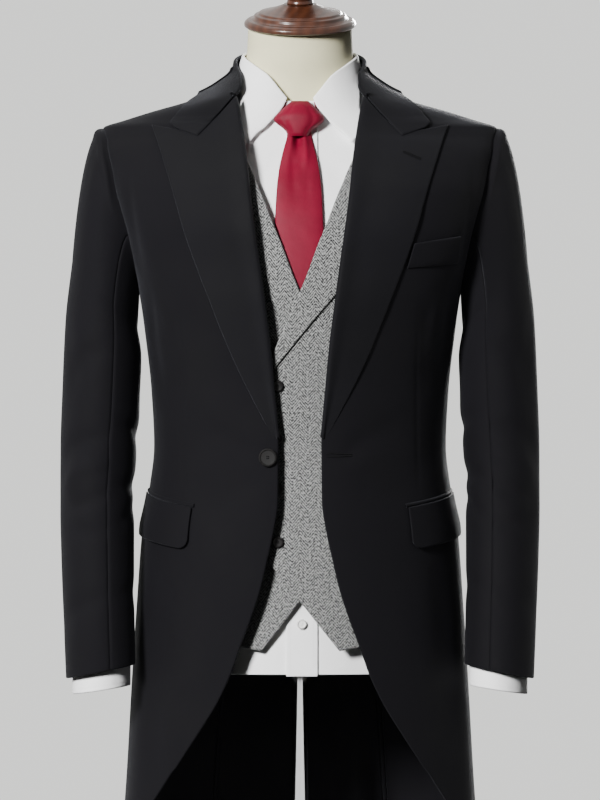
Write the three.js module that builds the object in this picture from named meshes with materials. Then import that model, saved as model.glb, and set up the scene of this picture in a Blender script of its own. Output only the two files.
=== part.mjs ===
// A black morning coat over a pale grey waistcoat, a white shirt and a crimson tie,
// all on a limbless dress form with a turned wooden cap, a chrome pole and a round base.
// Millimetres, +Z up, the front faces -Y and the wearer's left is +X.
import * as THREE from 'three';

// Driving dimensions of the stand and the form
const BASE = { radius: 190, height: 22, edge: 5, step: 46, stepHeight: 12 };
const POLE_RADIUS = 10;
const FORM_BOTTOM = 838;
const FORM_FOOT = [
  { rise: 0, shrink: 0.8 },
  { rise: 6, shrink: 0.9 },
  { rise: 20, shrink: 0.98 },
];
const FORM_SHOULDER = { start: 1412, full: 1428, fade: 1430, end: 1456 };
const NECK_TOP = 1538;
const NECK_TILT = 12.5;
const NECK_TILT_FROM = 1506;

// Cloth thicknesses and the clear gaps between pieces
const SEAM_GAP = 0.3;
const CLOTH = { shirt: 1.2, tie: 3, waistcoat: 2, coat: 2.5, lapel: 2, trim: 1.8 };
const LIE_GAP = 1.1;
const BUTTON_GAP = { coat: 1.1, coatBack: 1.5, waistcoat: 0.5, shirt: 0.9, sleeve: -0.1 };
const LAPEL_GAP = 1.5;
const COLLAR_GAP = 2.6;

// How far the outer face of each layer stands out from the figure
const OUT = {
  form: -4.4,
  formShoulder: -0.75,
  shirt: 1.7,
  placket: 4,
  band: 3.5,
  collar: 5.3,
  blade: 8,
  underFront: 11.2,
  overFront: 17.8,
  waistcoatSide: 7.2,
  waistcoatShoulder: 6.3,
};

// The figure: half width, reach to the front and the back, middle line and squareness of each level
const FIGURE = [
  { z: 780, side: 164, front: 112, back: 124, mid: 8, square: 2.1 },
  { z: 880, side: 160, front: 109, back: 120, mid: 8, square: 2.1 },
  { z: 940, side: 157, front: 108, back: 115, mid: 8, square: 2.1 },
  { z: 1000, side: 149, front: 104, back: 103, mid: 6, square: 2.1 },
  { z: 1050, side: 143, front: 100, back: 94, mid: 4, square: 2.1 },
  { z: 1110, side: 147, front: 103, back: 96, mid: 2, square: 2.1 },
  { z: 1180, side: 156, front: 109, back: 102, mid: 1, square: 2.2 },
  { z: 1250, side: 165, front: 113, back: 106, mid: 1, square: 2.4 },
  { z: 1310, side: 175, front: 109, back: 106, mid: 2, square: 2.5 },
  { z: 1350, side: 184, front: 100, back: 101, mid: 4, square: 2.5 },
  { z: 1380, side: 192, front: 87, back: 92, mid: 6, square: 2.4 },
  { z: 1396, side: 196, front: 77, back: 84, mid: 6, square: 2.3 },
  { z: 1408, side: 194, front: 70, back: 77, mid: 6, square: 2.15 },
  { z: 1417, side: 183, front: 65, back: 73, mid: 6, square: 2 },
  { z: 1426, side: 161, front: 62, back: 70, mid: 6, square: 2 },
  { z: 1441, side: 117, front: 59, back: 66, mid: 6, square: 2 },
  { z: 1456, side: 91, front: 57, back: 62, mid: 5, square: 2 },
  { z: 1472, side: 73, front: 55, back: 59, mid: 5, square: 2 },
  { z: 1488, side: 64.5, front: 54, back: 57, mid: 5, square: 2 },
  { z: 1506, side: 61.5, front: 53.5, back: 56, mid: 4, square: 2 },
  { z: 1538, side: 60, front: 52.5, back: 55, mid: 1, square: 2 },
];

// Levels shared by the form and all that lies on it, from the hem of the shirt to the neck
const LEVELS = {
  hips: [797, 860, 925, 990, 1050, 1110, 1170, 1210],
  chest: [1251, 1284, 1316, 1346, 1372, 1394, 1408],
  shoulder: [1417, 1426, 1441, 1456, 1472, 1484],
  neck: [1496, 1506, 1522, 1538],
};

// The outer face of the coat, down to the hem of the tails
const COAT = [
  { z: 478, side: 212, front: 152, back: 160, mid: 18, square: 2.1 },
  { z: 600, side: 205, front: 148, back: 152, mid: 14, square: 2.1 },
  { z: 690, side: 199, front: 145, back: 146, mid: 12, square: 2.1 },
  { z: 780, side: 194, front: 142, back: 140, mid: 10, square: 2.1 },
  { z: 880, side: 187.5, front: 138, back: 134, mid: 8, square: 2.1 },
  { z: 960, side: 181.5, front: 134, back: 125, mid: 7, square: 2.1 },
  { z: 1010, side: 173, front: 129, back: 115, mid: 5, square: 2.1 },
  { z: 1056, side: 168, front: 126, back: 107, mid: 4, square: 2.1 },
  { z: 1120, side: 171, front: 128, back: 108, mid: 2, square: 2.1 },
  { z: 1180, side: 177.5, front: 134, back: 114, mid: 1, square: 2.2 },
  { z: 1230, side: 184.5, front: 137, back: 118, mid: 1, square: 2.5 },
  { z: 1262, side: 192, front: 136, back: 119, mid: 2, square: 2.8 },
  { z: 1294, side: 200, front: 135, back: 119, mid: 2, square: 3 },
  { z: 1345, side: 216, front: 126, back: 115, mid: 4, square: 3 },
  { z: 1374, side: 223, front: 113, back: 107, mid: 5, square: 2.8 },
  { z: 1400, side: 229, front: 97, back: 98, mid: 6, square: 2.45 },
  { z: 1412, side: 229, front: 87, back: 92, mid: 6, square: 2.25 },
  { z: 1422, side: 226.5, front: 82, back: 88, mid: 6, square: 2.1 },
  { z: 1431, side: 201, front: 79, back: 85, mid: 6, square: 2 },
  { z: 1440, side: 172.5, front: 77, back: 83, mid: 6, square: 2 },
  { z: 1455, side: 122, front: 73, back: 78, mid: 5, square: 2 },
  { z: 1470, side: 93, front: 70, back: 73, mid: 5, square: 2 },
  { z: 1486, side: 75, front: 65, back: 68, mid: 5, square: 2 },
  { z: 1500, side: 72, front: 63, back: 67, mid: 4, square: 2 },
  { z: 1516, side: 71, front: 62, back: 66, mid: 3, square: 2 },
];

// Levels at which every panel of the coat body has a row
const COAT_LEVELS = [
  480, 505, 540, 585, 640, 700, 765, 830, 895, 955, 1000, 1020, 1040,
  1085, 1135, 1184, 1230, 1260, 1290, 1320, 1348, 1374, 1400, 1422, 1431, 1440, 1455, 1470, 1485,
];
const WAIST_SEAM = 1040;
const SIDE_TOP = 1290;

// Front edge of the coat: half distance from the centre line while it faces front
const COAT_EDGE = [
  { z: 690, x: 142 },
  { z: 732, x: 115 },
  { z: 765, x: 95 },
  { z: 797, x: 80 },
  { z: 828, x: 69 },
  { z: 857, x: 58 },
  { z: 893, x: 46 },
  { z: 926, x: 38 },
  { z: 957, x: 31 },
  { z: 994, x: 25.5 },
  { z: 1062, x: 25 },
  { z: 1112, x: 30.5 },
  { z: 1171, x: 37 },
  { z: 1235, x: 45.5 },
  { z: 1323, x: 58 },
  { z: 1396, x: 65 },
  { z: 1455, x: 72 },
  { z: 1488, x: 71 },
];

// The same edge as angles from the front, where the tails curve away to the side
const TAIL_EDGE = [
  { z: 478, angle: 113 },
  { z: 492, angle: 109.5 },
  { z: 522, angle: 99 },
  { z: 562, angle: 84.5 },
  { z: 606, angle: 70 },
  { z: 650, angle: 56.5 },
  { z: 690, angle: 45 },
];

// Seams of the coat body as angles from the front
const COAT_SEAMS = [
  { z: 478, side: 117.5, back: 150 },
  { z: 600, side: 111, back: 151 },
  { z: 760, side: 102, back: 153 },
  { z: 900, side: 95, back: 156 },
  { z: 1040, side: 90, back: 158 },
  { z: 1130, side: 89, back: 150 },
  { z: 1230, side: 89.5, back: 134 },
  { z: 1290, side: 89.5, back: 118 },
];

// Armholes: a loop round a middle point, with its reach up and to the front and the back
const COAT_ARMHOLE = { z: 1326, rise: 96, front: 54, back: 60 };
const SHIRT_ARMHOLE = { z: 1331, rise: 79, front: 42, back: 45 };
const WAISTCOAT_ARMHOLE = { z: 1315, rise: 113, front: 66, back: 66 };

// Stations of the coat sleeve: inner and outer edge seen from the front, middle line, half depth, slope
const SLEEVE = [
  { z: 1230, inner: 186.5, outer: 262, mid: 0, depth: 58, slope: 38 },
  { z: 1180, inner: 181.5, outer: 269.5, mid: -3, depth: 59, slope: 22 },
  { z: 1112, inner: 183.5, outer: 273, mid: -9, depth: 57, slope: 10 },
  { z: 1050, inner: 187.5, outer: 275, mid: -16, depth: 55, slope: 4 },
  { z: 992, inner: 190, outer: 275, mid: -25, depth: 53, slope: 0 },
  { z: 935, inner: 190, outer: 273.5, mid: -35, depth: 51, slope: -3 },
  { z: 876, inner: 189.5, outer: 271, mid: -45, depth: 49, slope: -5 },
  { z: 800, inner: 188, outer: 267.5, mid: -56, depth: 47, slope: -8 },
];
const SLEEVE_SEAM = 108;
const HEAD_STEPS = 6;
const HEAD_PULL = { forward: 0.3, splay: 12 };
const COAT_HEAD = { out: 60, down: 165, under: 30, underDown: 30, underOut: 0 };
const SHIRT_HEAD = { out: 50, down: 150, under: 88, underDown: -8, underOut: 50 };
const SHIRT_SLEEVE_INSET = { side: 7, depth: 14 };
const SHIRT_CUFF = {
  top: 846,
  bottom: 779,
  inner: 193.5,
  outer: 260,
  midTop: -50.5,
  midBottom: -57.5,
  depth: 38,
  slope: -5,
  wall: 1.8,
};

// Peak lapel of the coat: points of the roll line and of the outer edge, row by row
const COAT_LAPEL = [
  { rollX: 26, rollZ: 1066, edgeX: 28.5, edgeZ: 1064 },
  { rollX: 28.3, rollZ: 1092, edgeX: 46, edgeZ: 1097.5 },
  { rollX: 32, rollZ: 1125, edgeX: 64.5, edgeZ: 1134 },
  { rollX: 37, rollZ: 1171, edgeX: 81, edgeZ: 1171 },
  { rollX: 43, rollZ: 1218, edgeX: 102, edgeZ: 1224 },
  { rollX: 49, rollZ: 1262, edgeX: 119, edgeZ: 1268 },
  { rollX: 55, rollZ: 1304, edgeX: 132, edgeZ: 1306 },
  { rollX: 60, rollZ: 1343, edgeX: 142, edgeZ: 1342 },
  { rollX: 64, rollZ: 1382, edgeX: 151, edgeZ: 1374 },
  { rollX: 69, rollZ: 1420, edgeX: 159, edgeZ: 1403 },
  { rollX: 73.5, rollZ: 1451, edgeX: 164.5, edgeZ: 1422 },
];
const LAPEL_COLUMNS = [0, 0.14, 0.28, 0.43, 0.62, 0.82, 1];
const NOTCH = { at: 0.43, drop: 28, fade: 7 };
const ROLL = { rise: 2.4, reach: 0.16 };

// Collar of the coat, from its front end over the shoulder to the middle of the back
const COAT_COLLAR = [
  { foldAngle: 37, foldZ: 1455, edgeAngle: 36.6, edgeZ: 1425 },
  { foldAngle: 41, foldZ: 1463, edgeAngle: 43, edgeZ: 1431 },
  { foldAngle: 49, foldZ: 1472, edgeAngle: 52, edgeZ: 1441 },
  { foldAngle: 61, foldZ: 1482, edgeAngle: 65, edgeZ: 1450 },
  { foldAngle: 76, foldZ: 1491, edgeAngle: 79, edgeZ: 1457 },
  { foldAngle: 98, foldZ: 1500, edgeAngle: 98, edgeZ: 1461 },
  { foldAngle: 124, foldZ: 1507, edgeAngle: 123, edgeZ: 1461 },
  { foldAngle: 152, foldZ: 1511, edgeAngle: 151, edgeZ: 1461 },
  { foldAngle: 180, foldZ: 1512, edgeAngle: 180, edgeZ: 1461 },
];
const COLLAR_NOTCH = { at: 0.56, drop: 22, fade: 9 };

// Collar of the shirt, from its front end to the middle of the back
const SHIRT_COLLAR = [
  { foldAngle: 9, foldZ: 1453, edgeAngle: 15.8, edgeZ: 1401 },
  { foldAngle: 18, foldZ: 1465, edgeAngle: 20.5, edgeZ: 1420 },
  { foldAngle: 30, foldZ: 1478, edgeAngle: 31, edgeZ: 1443 },
  { foldAngle: 44, foldZ: 1487, edgeAngle: 44, edgeZ: 1459 },
  { foldAngle: 60, foldZ: 1495, edgeAngle: 60, edgeZ: 1470 },
  { foldAngle: 78, foldZ: 1501, edgeAngle: 78, edgeZ: 1477 },
  { foldAngle: 98, foldZ: 1506, edgeAngle: 98, edgeZ: 1481 },
  { foldAngle: 118, foldZ: 1509, edgeAngle: 118, edgeZ: 1484 },
  { foldAngle: 139, foldZ: 1512, edgeAngle: 139, edgeZ: 1485 },
  { foldAngle: 160, foldZ: 1514, edgeAngle: 160, edgeZ: 1486 },
  { foldAngle: 180, foldZ: 1514, edgeAngle: 180, edgeZ: 1486 },
];
const SHIRT_NECK = { front: 1436, side: 1484, back: 1489 };
const TIE_BAND = { top: -4, bottom: -15, wall: 1.1 };
const PLACKET = { left: 19.5, right: -15, bottom: 795, top: 1434 };

// Front of the waistcoat: inner edge by place, outer edge by level and angle
const WAISTCOAT_FRONT = [
  { x: 42.5, z: 824, sideZ: 866 },
  { x: 27, z: 844.5, sideZ: 878 },
  { x: 5.5, z: 873.5, sideZ: 896 },
  { x: -14, z: 899.5, sideZ: 913 },
  { x: -33, z: 925, sideZ: 932 },
  { x: -33.5, z: 962, sideZ: 964 },
  { x: -33.5, z: 1000, sideZ: 1000 },
  { x: -33.5, z: 1050, sideZ: 1050 },
  { x: -33, z: 1110, sideZ: 1110 },
  { x: -32, z: 1148, sideZ: 1148 },
  { x: -24.5, z: 1170, sideZ: 1170 },
  { x: -8, z: 1210, sideZ: 1210 },
  { x: 9.5, z: 1251, sideZ: 1251 },
  { x: 22, z: 1284, sideZ: 1284 },
  { x: 35, z: 1316, sideZ: 1316 },
  { x: 47.5, z: 1346, sideZ: 1346 },
  { x: 59, z: 1372, sideZ: 1372 },
  { x: 67.5, z: 1394, sideZ: 1394 },
  { x: 73, z: 1408, sideZ: 1408 },
  { x: 76, z: 1417, sideZ: 1417 },
  { x: 79, z: 1426, sideZ: 1426 },
  { x: 85, z: 1441, sideZ: 1441 },
  { x: 88, z: 1455, sideZ: 1455 },
];
const WAISTCOAT_BACK = { bottom: 890, top: 1456 };
const WAISTCOAT_LAPEL = [
  { x: -30.5, z: 1153, edgeX: -27, edgeZ: 1148 },
  { x: -24, z: 1171, edgeX: -10, edgeZ: 1170 },
  { x: -7.5, z: 1211, edgeX: 21.5, edgeZ: 1210 },
  { x: 9.5, z: 1251, edgeX: 54, edgeZ: 1251 },
  { x: 22, z: 1284, edgeX: 71, edgeZ: 1284 },
  { x: 35, z: 1316, edgeX: 80, edgeZ: 1316 },
  { x: 47.5, z: 1346, edgeX: 87, edgeZ: 1346 },
  { x: 59, z: 1372, edgeX: 92, edgeZ: 1372 },
  { x: 67.5, z: 1394, edgeX: 96, edgeZ: 1394 },
  { x: 73, z: 1408, edgeX: 98, edgeZ: 1408 },
];

// Tie: half width of the blade at each level, and the sections of the knot
const BLADE = [
  { z: 1110, half: 29 },
  { z: 1170, half: 28.5 },
  { z: 1210, half: 28 },
  { z: 1251, half: 27.8 },
  { z: 1284, half: 27.5 },
  { z: 1316, half: 26.5 },
  { z: 1346, half: 25 },
  { z: 1372, half: 22 },
  { z: 1394, half: 17 },
  { z: 1406, half: 13.8 },
];
const BLADE_X = -1;
const KNOT_SEGMENTS = 16;
const KNOT_BACK = 0.12;
const KNOT = [
  { z: 1411.6, half: 13.5, depth: 11 },
  { z: 1418, half: 19, depth: 15 },
  { z: 1427, half: 25, depth: 18 },
  { z: 1436, half: 28, depth: 19 },
  { z: 1443, half: 25.5, depth: 17.5 },
  { z: 1449, half: 20, depth: 14 },
  { z: 1452, half: 14, depth: 9 },
];

// Pockets of the coat, as angles from the front and levels
const FLAP = { from: 43, to: 87, topFront: 986, topSide: 1003, depth: 47 };
const FLAP_ROWS = [
  { share: 1, inset: 3 },
  { share: 0.8, inset: 0 },
  { share: 0.4, inset: 0 },
  { share: 0, inset: 0 },
];
const JETTING = { rise: 5, overhang: 1, wall: 1, sink: 0.8 };
const WELT = { topX: [129.5, 181.5], topZ: [1286, 1295], bottomX: [121.5, 178.5], bottomZ: [1259, 1265] };

// Buttons: radius and thickness
const BUTTON = {
  coat: { radius: 10.5, thickness: 4 },
  sleeve: { radius: 7.5, thickness: 3.2 },
  waistcoat: { radius: 6.6, thickness: 3 },
  shirt: { radius: 5.7, thickness: 2.4 },
};
const BUTTON_RIM = { chamfer: 1.1, dish: 0.5 };
const COAT_BUTTON = { x: -35.5, z: 1043.5 };
const BACK_BUTTONS = { angle: 163, z: 1054 };
const WAISTCOAT_BUTTONS = { x: -23.5, lowest: 947, pitch: 60, count: 4 };
const SHIRT_BUTTON = { x: 2, z: 854 };
const CUFF_BUTTONS = { around: -97, lowest: 826, pitch: 17, count: 3 };

// Turned profiles of the neck cap and the knob: radius and height from the plate
const CAP_PROFILE = [
  [0, 0], [60, 0], [62, 4], [59, 9], [51, 11], [49, 14], [42, 18], [30, 21], [18, 27], [0, 27],
];
const KNOB_PROFILE = [
  [0, 0], [15.5, 0], [16, 7], [18.5, 13], [24, 21], [27, 31], [25.5, 41], [19, 49], [9, 53.5], [0, 54.5],
];

const DEGREE = Math.PI / 180;
const FACING_FRONT = 80;
const MATERIALS = {
  coat: new THREE.MeshStandardMaterial({ color: 0x1b1b1f, roughness: 0.85, metalness: 0 }),
  waistcoat: new THREE.MeshStandardMaterial({ color: 0xa7a7a3, roughness: 0.85, metalness: 0 }),
  shirt: new THREE.MeshStandardMaterial({ color: 0xf2f2ee, roughness: 0.7, metalness: 0 }),
  tie: new THREE.MeshStandardMaterial({ color: 0x9b1d3c, roughness: 0.45, metalness: 0 }),
  form: new THREE.MeshStandardMaterial({ color: 0xdedccb, roughness: 0.8, metalness: 0 }),
  wood: new THREE.MeshStandardMaterial({ color: 0x5a2d1c, roughness: 0.35, metalness: 0 }),
  chrome: new THREE.MeshStandardMaterial({ color: 0xc8c8c8, roughness: 0.15, metalness: 1 }),
  base: new THREE.MeshStandardMaterial({ color: 0xb8b8b8, roughness: 0.25, metalness: 1 }),
  button: new THREE.MeshStandardMaterial({ color: 0x101012, roughness: 0.35, metalness: 0 }),
  pearl: new THREE.MeshStandardMaterial({ color: 0xe9e8e2, roughness: 0.3, metalness: 0 }),
};

const suit = new THREE.Group();

// Curves through tables

// A smooth curve through one column of a table that never overshoots its rows
function curve(table, key, by = 'z') {
  const at = table.map((row) => row[by]);
  const value = table.map((row) => row[key]);
  const last = at.length - 1;
  const slope = at.slice(1).map((end, i) => (value[i + 1] - value[i]) / (end - at[i]));
  const tangent = at.map((_, i) => {
    if (i === 0) return slope[0];
    if (i === last) return slope[last - 1];
    const before = slope[i - 1];
    const after = slope[i];
    return before * after <= 0 ? 0 : (2 * before * after) / (before + after);
  });
  return (place) => {
    const clamped = Math.min(Math.max(place, at[0]), at[last]);
    const i = Math.min(at.findLastIndex((start) => start <= clamped), last - 1);
    const width = at[i + 1] - at[i];
    const t = (clamped - at[i]) / width;
    const rest = 1 - t;
    const ease = value[i] * (1 + 2 * t) * rest * rest + value[i + 1] * (3 - 2 * t) * t * t;
    return ease + width * t * rest * (tangent[i] * rest - tangent[i + 1] * t);
  };
}

function mix(from, to, share) {
  return from + (to - from) * share;
}

function smooth(from, to, place) {
  const t = Math.min(Math.max((place - from) / (to - from), 0), 1);
  return t * t * (3 - 2 * t);
}

// Rounded bodies made of level sections

function bodyFrom(table) {
  const columns = ['side', 'front', 'back', 'mid', 'square'];
  return Object.fromEntries(columns.map((key) => [key, curve(table, key)]));
}

function bodyPoint(body, angle, z) {
  const turn = angle * DEGREE;
  const power = 2 / body.square(z);
  const across = Math.sin(turn);
  const ahead = Math.cos(turn);
  const reach = ahead > 0 ? -body.front(z) : body.back(z);
  const x = body.side(z) * Math.sign(across) * Math.abs(across) ** power;
  return new THREE.Vector3(x, body.mid(z) + reach * Math.abs(ahead) ** power, z);
}

function bodyNormal(body, angle, z) {
  const round = bodyPoint(body, angle + 1, z).sub(bodyPoint(body, angle - 1, z));
  const up = bodyPoint(body, angle, z + 1.5).sub(bodyPoint(body, angle, z - 1.5));
  return round.cross(up).normalize();
}

// The point at an angle and a level, moved straight out of the body
function skin(body, angle, z, out) {
  return bodyPoint(body, angle, z).addScaledVector(bodyNormal(body, angle, z), out);
}

// The angle at which a level section passes a given distance from the centre line
function angleAt(body, x, z) {
  const share = Math.min(Math.abs(x) / body.side(z), 1);
  return (Math.sign(x) * Math.asin(share ** (body.square(z) / 2))) / DEGREE;
}

// The angle of an armhole's edge at a level, measured from the front or from the back
function armholeAngle(body, hole, z, side) {
  const height = Math.min(Math.abs(z - hole.z) / hole.rise, 1);
  const reach = hole[side] * Math.sqrt(1 - height * height);
  const share = Math.min(reach / body[side](z), 1);
  const angle = Math.acos(share ** (body.square(z) / 2)) / DEGREE;
  return side === 'front' ? angle : 180 - angle;
}

// A point of the armhole's edge: 0 at the shoulder, 90 at the front, 180 under the arm
function armholePoint(body, hole, around, out) {
  const z = hole.z + hole.rise * Math.cos(around * DEGREE);
  const side = Math.sin(around * DEGREE) >= 0 ? 'front' : 'back';
  return skin(body, armholeAngle(body, hole, z, side), z, out);
}

// Closed walls from grids of points

function addMesh(name, positions, triangles, material) {
  const geometry = new THREE.BufferGeometry();
  const numbers = positions.flatMap((p) => [p.x, p.y, p.z]);
  geometry.setAttribute('position', new THREE.Float32BufferAttribute(numbers, 3));
  geometry.setIndex(triangles.flat());
  geometry.computeVertexNormals();
  const mesh = new THREE.Mesh(geometry, material);
  mesh.name = name;
  suit.add(mesh);
  return mesh;
}

// Joins an outer and an inner grid of the same size into one closed wall
function addWall(name, outer, inner, material, closed = false) {
  const rows = outer.length;
  const columns = outer[0].length;
  const wraps = closed ? columns : columns - 1;
  const face = (i, j) => i * columns + (j % columns);
  const back = (i, j) => rows * columns + face(i, j);
  const triangles = [];
  const quad = (a, b, c, d) => triangles.push([a, b, c], [a, c, d]);
  for (let i = 0; i < rows - 1; i += 1) {
    for (let j = 0; j < wraps; j += 1) {
      quad(face(i, j), face(i, j + 1), face(i + 1, j + 1), face(i + 1, j));
      quad(back(i, j), back(i + 1, j), back(i + 1, j + 1), back(i, j + 1));
    }
  }
  for (let j = 0; j < wraps; j += 1) {
    quad(face(0, j + 1), face(0, j), back(0, j), back(0, j + 1));
    quad(face(rows - 1, j), face(rows - 1, j + 1), back(rows - 1, j + 1), back(rows - 1, j));
  }
  for (let i = 0; i < rows - 1 && !closed; i += 1) {
    quad(face(i, 0), face(i + 1, 0), back(i + 1, 0), back(i, 0));
    quad(face(i + 1, columns - 1), face(i, columns - 1), back(i, columns - 1), back(i + 1, columns - 1));
  }
  return addMesh(name, [...outer.flat(), ...inner.flat()], triangles, material);
}

// Closes a stack of rings into one solid
function addLoft(name, rings, material) {
  const count = rings[0].length;
  const middle = (ring) => ring.reduce((sum, p) => sum.add(p), new THREE.Vector3()).divideScalar(count);
  const positions = [...rings.flat(), middle(rings[0]), middle(rings.at(-1))];
  const low = positions.length - 2;
  const high = positions.length - 1;
  const triangles = [];
  for (let j = 0; j < count; j += 1) {
    const next = (j + 1) % count;
    triangles.push([low, next, j]);
    for (let i = 0; i < rings.length - 1; i += 1) {
      const a = i * count + j;
      const b = i * count + next;
      triangles.push([a, b, b + count], [a, b + count, a + count]);
    }
    const top = (rings.length - 1) * count;
    triangles.push([high, top + j, top + next]);
  }
  return addMesh(name, positions, triangles, material);
}

function mirrorGrid(grid) {
  return grid.map((row) => row.map((p) => new THREE.Vector3(-p.x, p.y, p.z)).reverse());
}

// Adds a wall for the wearer's left, or its mirror image for the right
function addSided(name, side, outer, inner, material) {
  const turn = side === 'left' ? (grid) => grid : mirrorGrid;
  return addWall(`${name}_${side}`, turn(outer), turn(inner), material);
}

// A grid of places (angle and level) from rows that each have a start and an end
function spanRows(rows, columns, bend = () => 0) {
  const even = (count) => Array.from({ length: count }, (_, j) => j / (count - 1));
  const shares = Array.isArray(columns) ? columns : even(columns);
  return rows.map((row, i) => shares.map((share) => ({
    angle: mix(row.from[0], row.to[0], share),
    z: mix(row.from[1], row.to[1], share) + bend(share, i / (rows.length - 1)),
    share,
  })));
}

// The same for pieces that face front: places are spaced evenly as seen from the front
function spanAcross(body, rows, columns, bend) {
  return spanRows(rows, columns, bend).map((places, i) => {
    const { from, to } = rows[i];
    if (Math.max(Math.abs(from[0]), Math.abs(to[0])) > FACING_FRONT) return places;
    const start = bodyPoint(body, ...from).x;
    const end = bodyPoint(body, ...to).x;
    return places.map((p) => ({ ...p, angle: angleAt(body, mix(start, end, p.share), p.z) }));
  });
}

// The outer and inner faces of cloth that lies on a body at the given places
function clothOn(body, places, out, thickness) {
  const lift = typeof out === 'function' ? out : () => out;
  const face = (inset) => places.map((row) => row.map((p) => skin(body, p.angle, p.z, lift(p) - inset)));
  return [face(0), face(thickness)];
}

// Degrees that take up half a seam gap on a body
function seamTurn(body, z) {
  return SEAM_GAP / 2 / body.side(z) / DEGREE;
}

const figure = bodyFrom(FIGURE);
const coat = bodyFrom(COAT);
const seam = { side: curve(COAT_SEAMS, 'side'), back: curve(COAT_SEAMS, 'back') };
const edgeX = curve(COAT_EDGE, 'x');
const tailAngle = curve(TAIL_EDGE, 'angle');

// The dress form and its stand

function formOut(z) {
  const { start, full, fade, end } = FORM_SHOULDER;
  const onShoulder = smooth(start, full, z) * (1 - smooth(fade, end, z));
  return mix(OUT.form, OUT.formShoulder, onShoulder);
}

function formRing(z, shrink, segments = 24) {
  const lean = smooth(NECK_TILT_FROM, NECK_TOP, z) * Math.tan(NECK_TILT * DEGREE);
  return Array.from({ length: segments }, (_, j) => {
    const point = skin(figure, (j * 360) / segments, z, formOut(z));
    const mid = figure.mid(z);
    const ahead = point.y - mid;
    return new THREE.Vector3(point.x * shrink, mid + ahead * shrink, point.z + lean * ahead);
  });
}

function addForm() {
  const bottom = FORM_FOOT.map(({ rise, shrink }) => [FORM_BOTTOM + rise, shrink]);
  const levels = Object.values(LEVELS).flat().filter((z) => z > FORM_BOTTOM).map((z) => [z, 1]);
  addLoft('form_torso', [...bottom, ...levels].map(([z, shrink]) => formRing(z, shrink)), MATERIALS.form);
  const lean = new THREE.Vector3(0, -Math.sin(NECK_TILT * DEGREE), Math.cos(NECK_TILT * DEGREE));
  const seat = new THREE.Vector3(0, figure.mid(NECK_TOP), NECK_TOP);
  const capSeat = seat.clone().addScaledVector(lean, SEAM_GAP);
  addTurned('form_neck_cap', CAP_PROFILE, capSeat, lean, MATERIALS.wood, 24);
  const capHeight = CAP_PROFILE.at(-1)[1];
  const knobSeat = seat.clone().addScaledVector(lean, capHeight + 2 * SEAM_GAP);
  addTurned('form_neck_knob', KNOB_PROFILE, knobSeat, lean, MATERIALS.wood, 16);
}

// A turned solid standing on a point along a direction
function addTurned(name, profile, seat, direction, material, segments) {
  const geometry = new THREE.LatheGeometry(profile.map(([r, h]) => new THREE.Vector2(r, h)), segments);
  const mesh = new THREE.Mesh(geometry, material);
  mesh.name = name;
  mesh.quaternion.setFromUnitVectors(new THREE.Vector3(0, 1, 0), direction);
  mesh.position.copy(seat);
  suit.add(mesh);
  return mesh;
}

function addStand() {
  const up = new THREE.Vector3(0, 0, 1);
  const { radius, height, edge, step, stepHeight } = BASE;
  const profile = [
    [0, 0], [radius - 2, 0], [radius, 2], [radius, height - edge], [radius - edge, height],
    [step, height + 2], [step - 6, height + stepHeight], [0, height + stepHeight],
  ];
  addTurned('stand_base', profile, new THREE.Vector3(), up, MATERIALS.base, 32);
  const foot = height + stepHeight + SEAM_GAP;
  const length = FORM_BOTTOM - SEAM_GAP - foot;
  const pole = [[0, 0], [POLE_RADIUS, 0], [POLE_RADIUS, length], [0, length]];
  const poleSeat = new THREE.Vector3(0, figure.mid(FORM_BOTTOM), foot);
  addTurned('stand_pole', pole, poleSeat, up, MATERIALS.chrome, 16);
}

// The shirt

function shirtNeck(angle) {
  const { front, side, back } = SHIRT_NECK;
  return angle <= 90 ? mix(front, side, angle / 90) : mix(side, back, (angle - 90) / 90);
}

function shirtSideRows(side) {
  const inner = side === 'front' ? 0 : 180;
  const sign = side === 'front' ? -1 : 1;
  const { z: middle, rise } = SHIRT_ARMHOLE;
  const top = shirtNeck(inner);
  return [...LEVELS.hips, ...LEVELS.chest, ...LEVELS.shoulder].map((z) => {
    const inHole = Math.abs(z - middle) < rise;
    const angle = inHole ? armholeAngle(figure, SHIRT_ARMHOLE, z, side) : 90 + sign * seamTurn(figure, z);
    const above = smooth(LEVELS.chest[0], SHIRT_NECK.side, z);
    return { inner: [inner, z + (top - SHIRT_NECK.side) * above], outer: [angle, z] };
  });
}

function addShirtBody() {
  for (const side of ['left', 'right']) {
    const rows = shirtSideRows('front').map((row) => ({
      from: [seamTurn(figure, row.inner[1]), row.inner[1]],
      to: row.outer,
    }));
    const [outer, inner] = clothOn(figure, spanRows(rows, 7), OUT.shirt, CLOTH.shirt);
    addSided('shirt_front', side, outer, inner, MATERIALS.shirt);
  }
  const half = shirtSideRows('back').map((row) => ({ from: row.outer, to: row.inner }));
  const leftHalf = spanRows(half, 7);
  const whole = leftHalf.map((row) => [
    ...row,
    ...row.slice(0, -1).reverse().map((p) => ({ ...p, angle: 360 - p.angle })),
  ]);
  const [outer, inner] = clothOn(figure, whole, OUT.shirt, CLOTH.shirt);
  addWall('shirt_back', outer, inner, MATERIALS.shirt);
}

function addPlacket() {
  const between = [...LEVELS.hips, ...LEVELS.chest].slice(2).concat(LEVELS.shoulder[0]);
  const levels = [PLACKET.bottom, ...between, PLACKET.top];
  const rows = levels.map((z) => ({
    from: [angleAt(figure, PLACKET.right, z), z],
    to: [angleAt(figure, PLACKET.left, z), z],
  }));
  const [outer, inner] = clothOn(figure, spanRows(rows, 3), OUT.placket, CLOTH.shirt);
  addWall('shirt_placket', outer, inner, MATERIALS.shirt);
}

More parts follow.
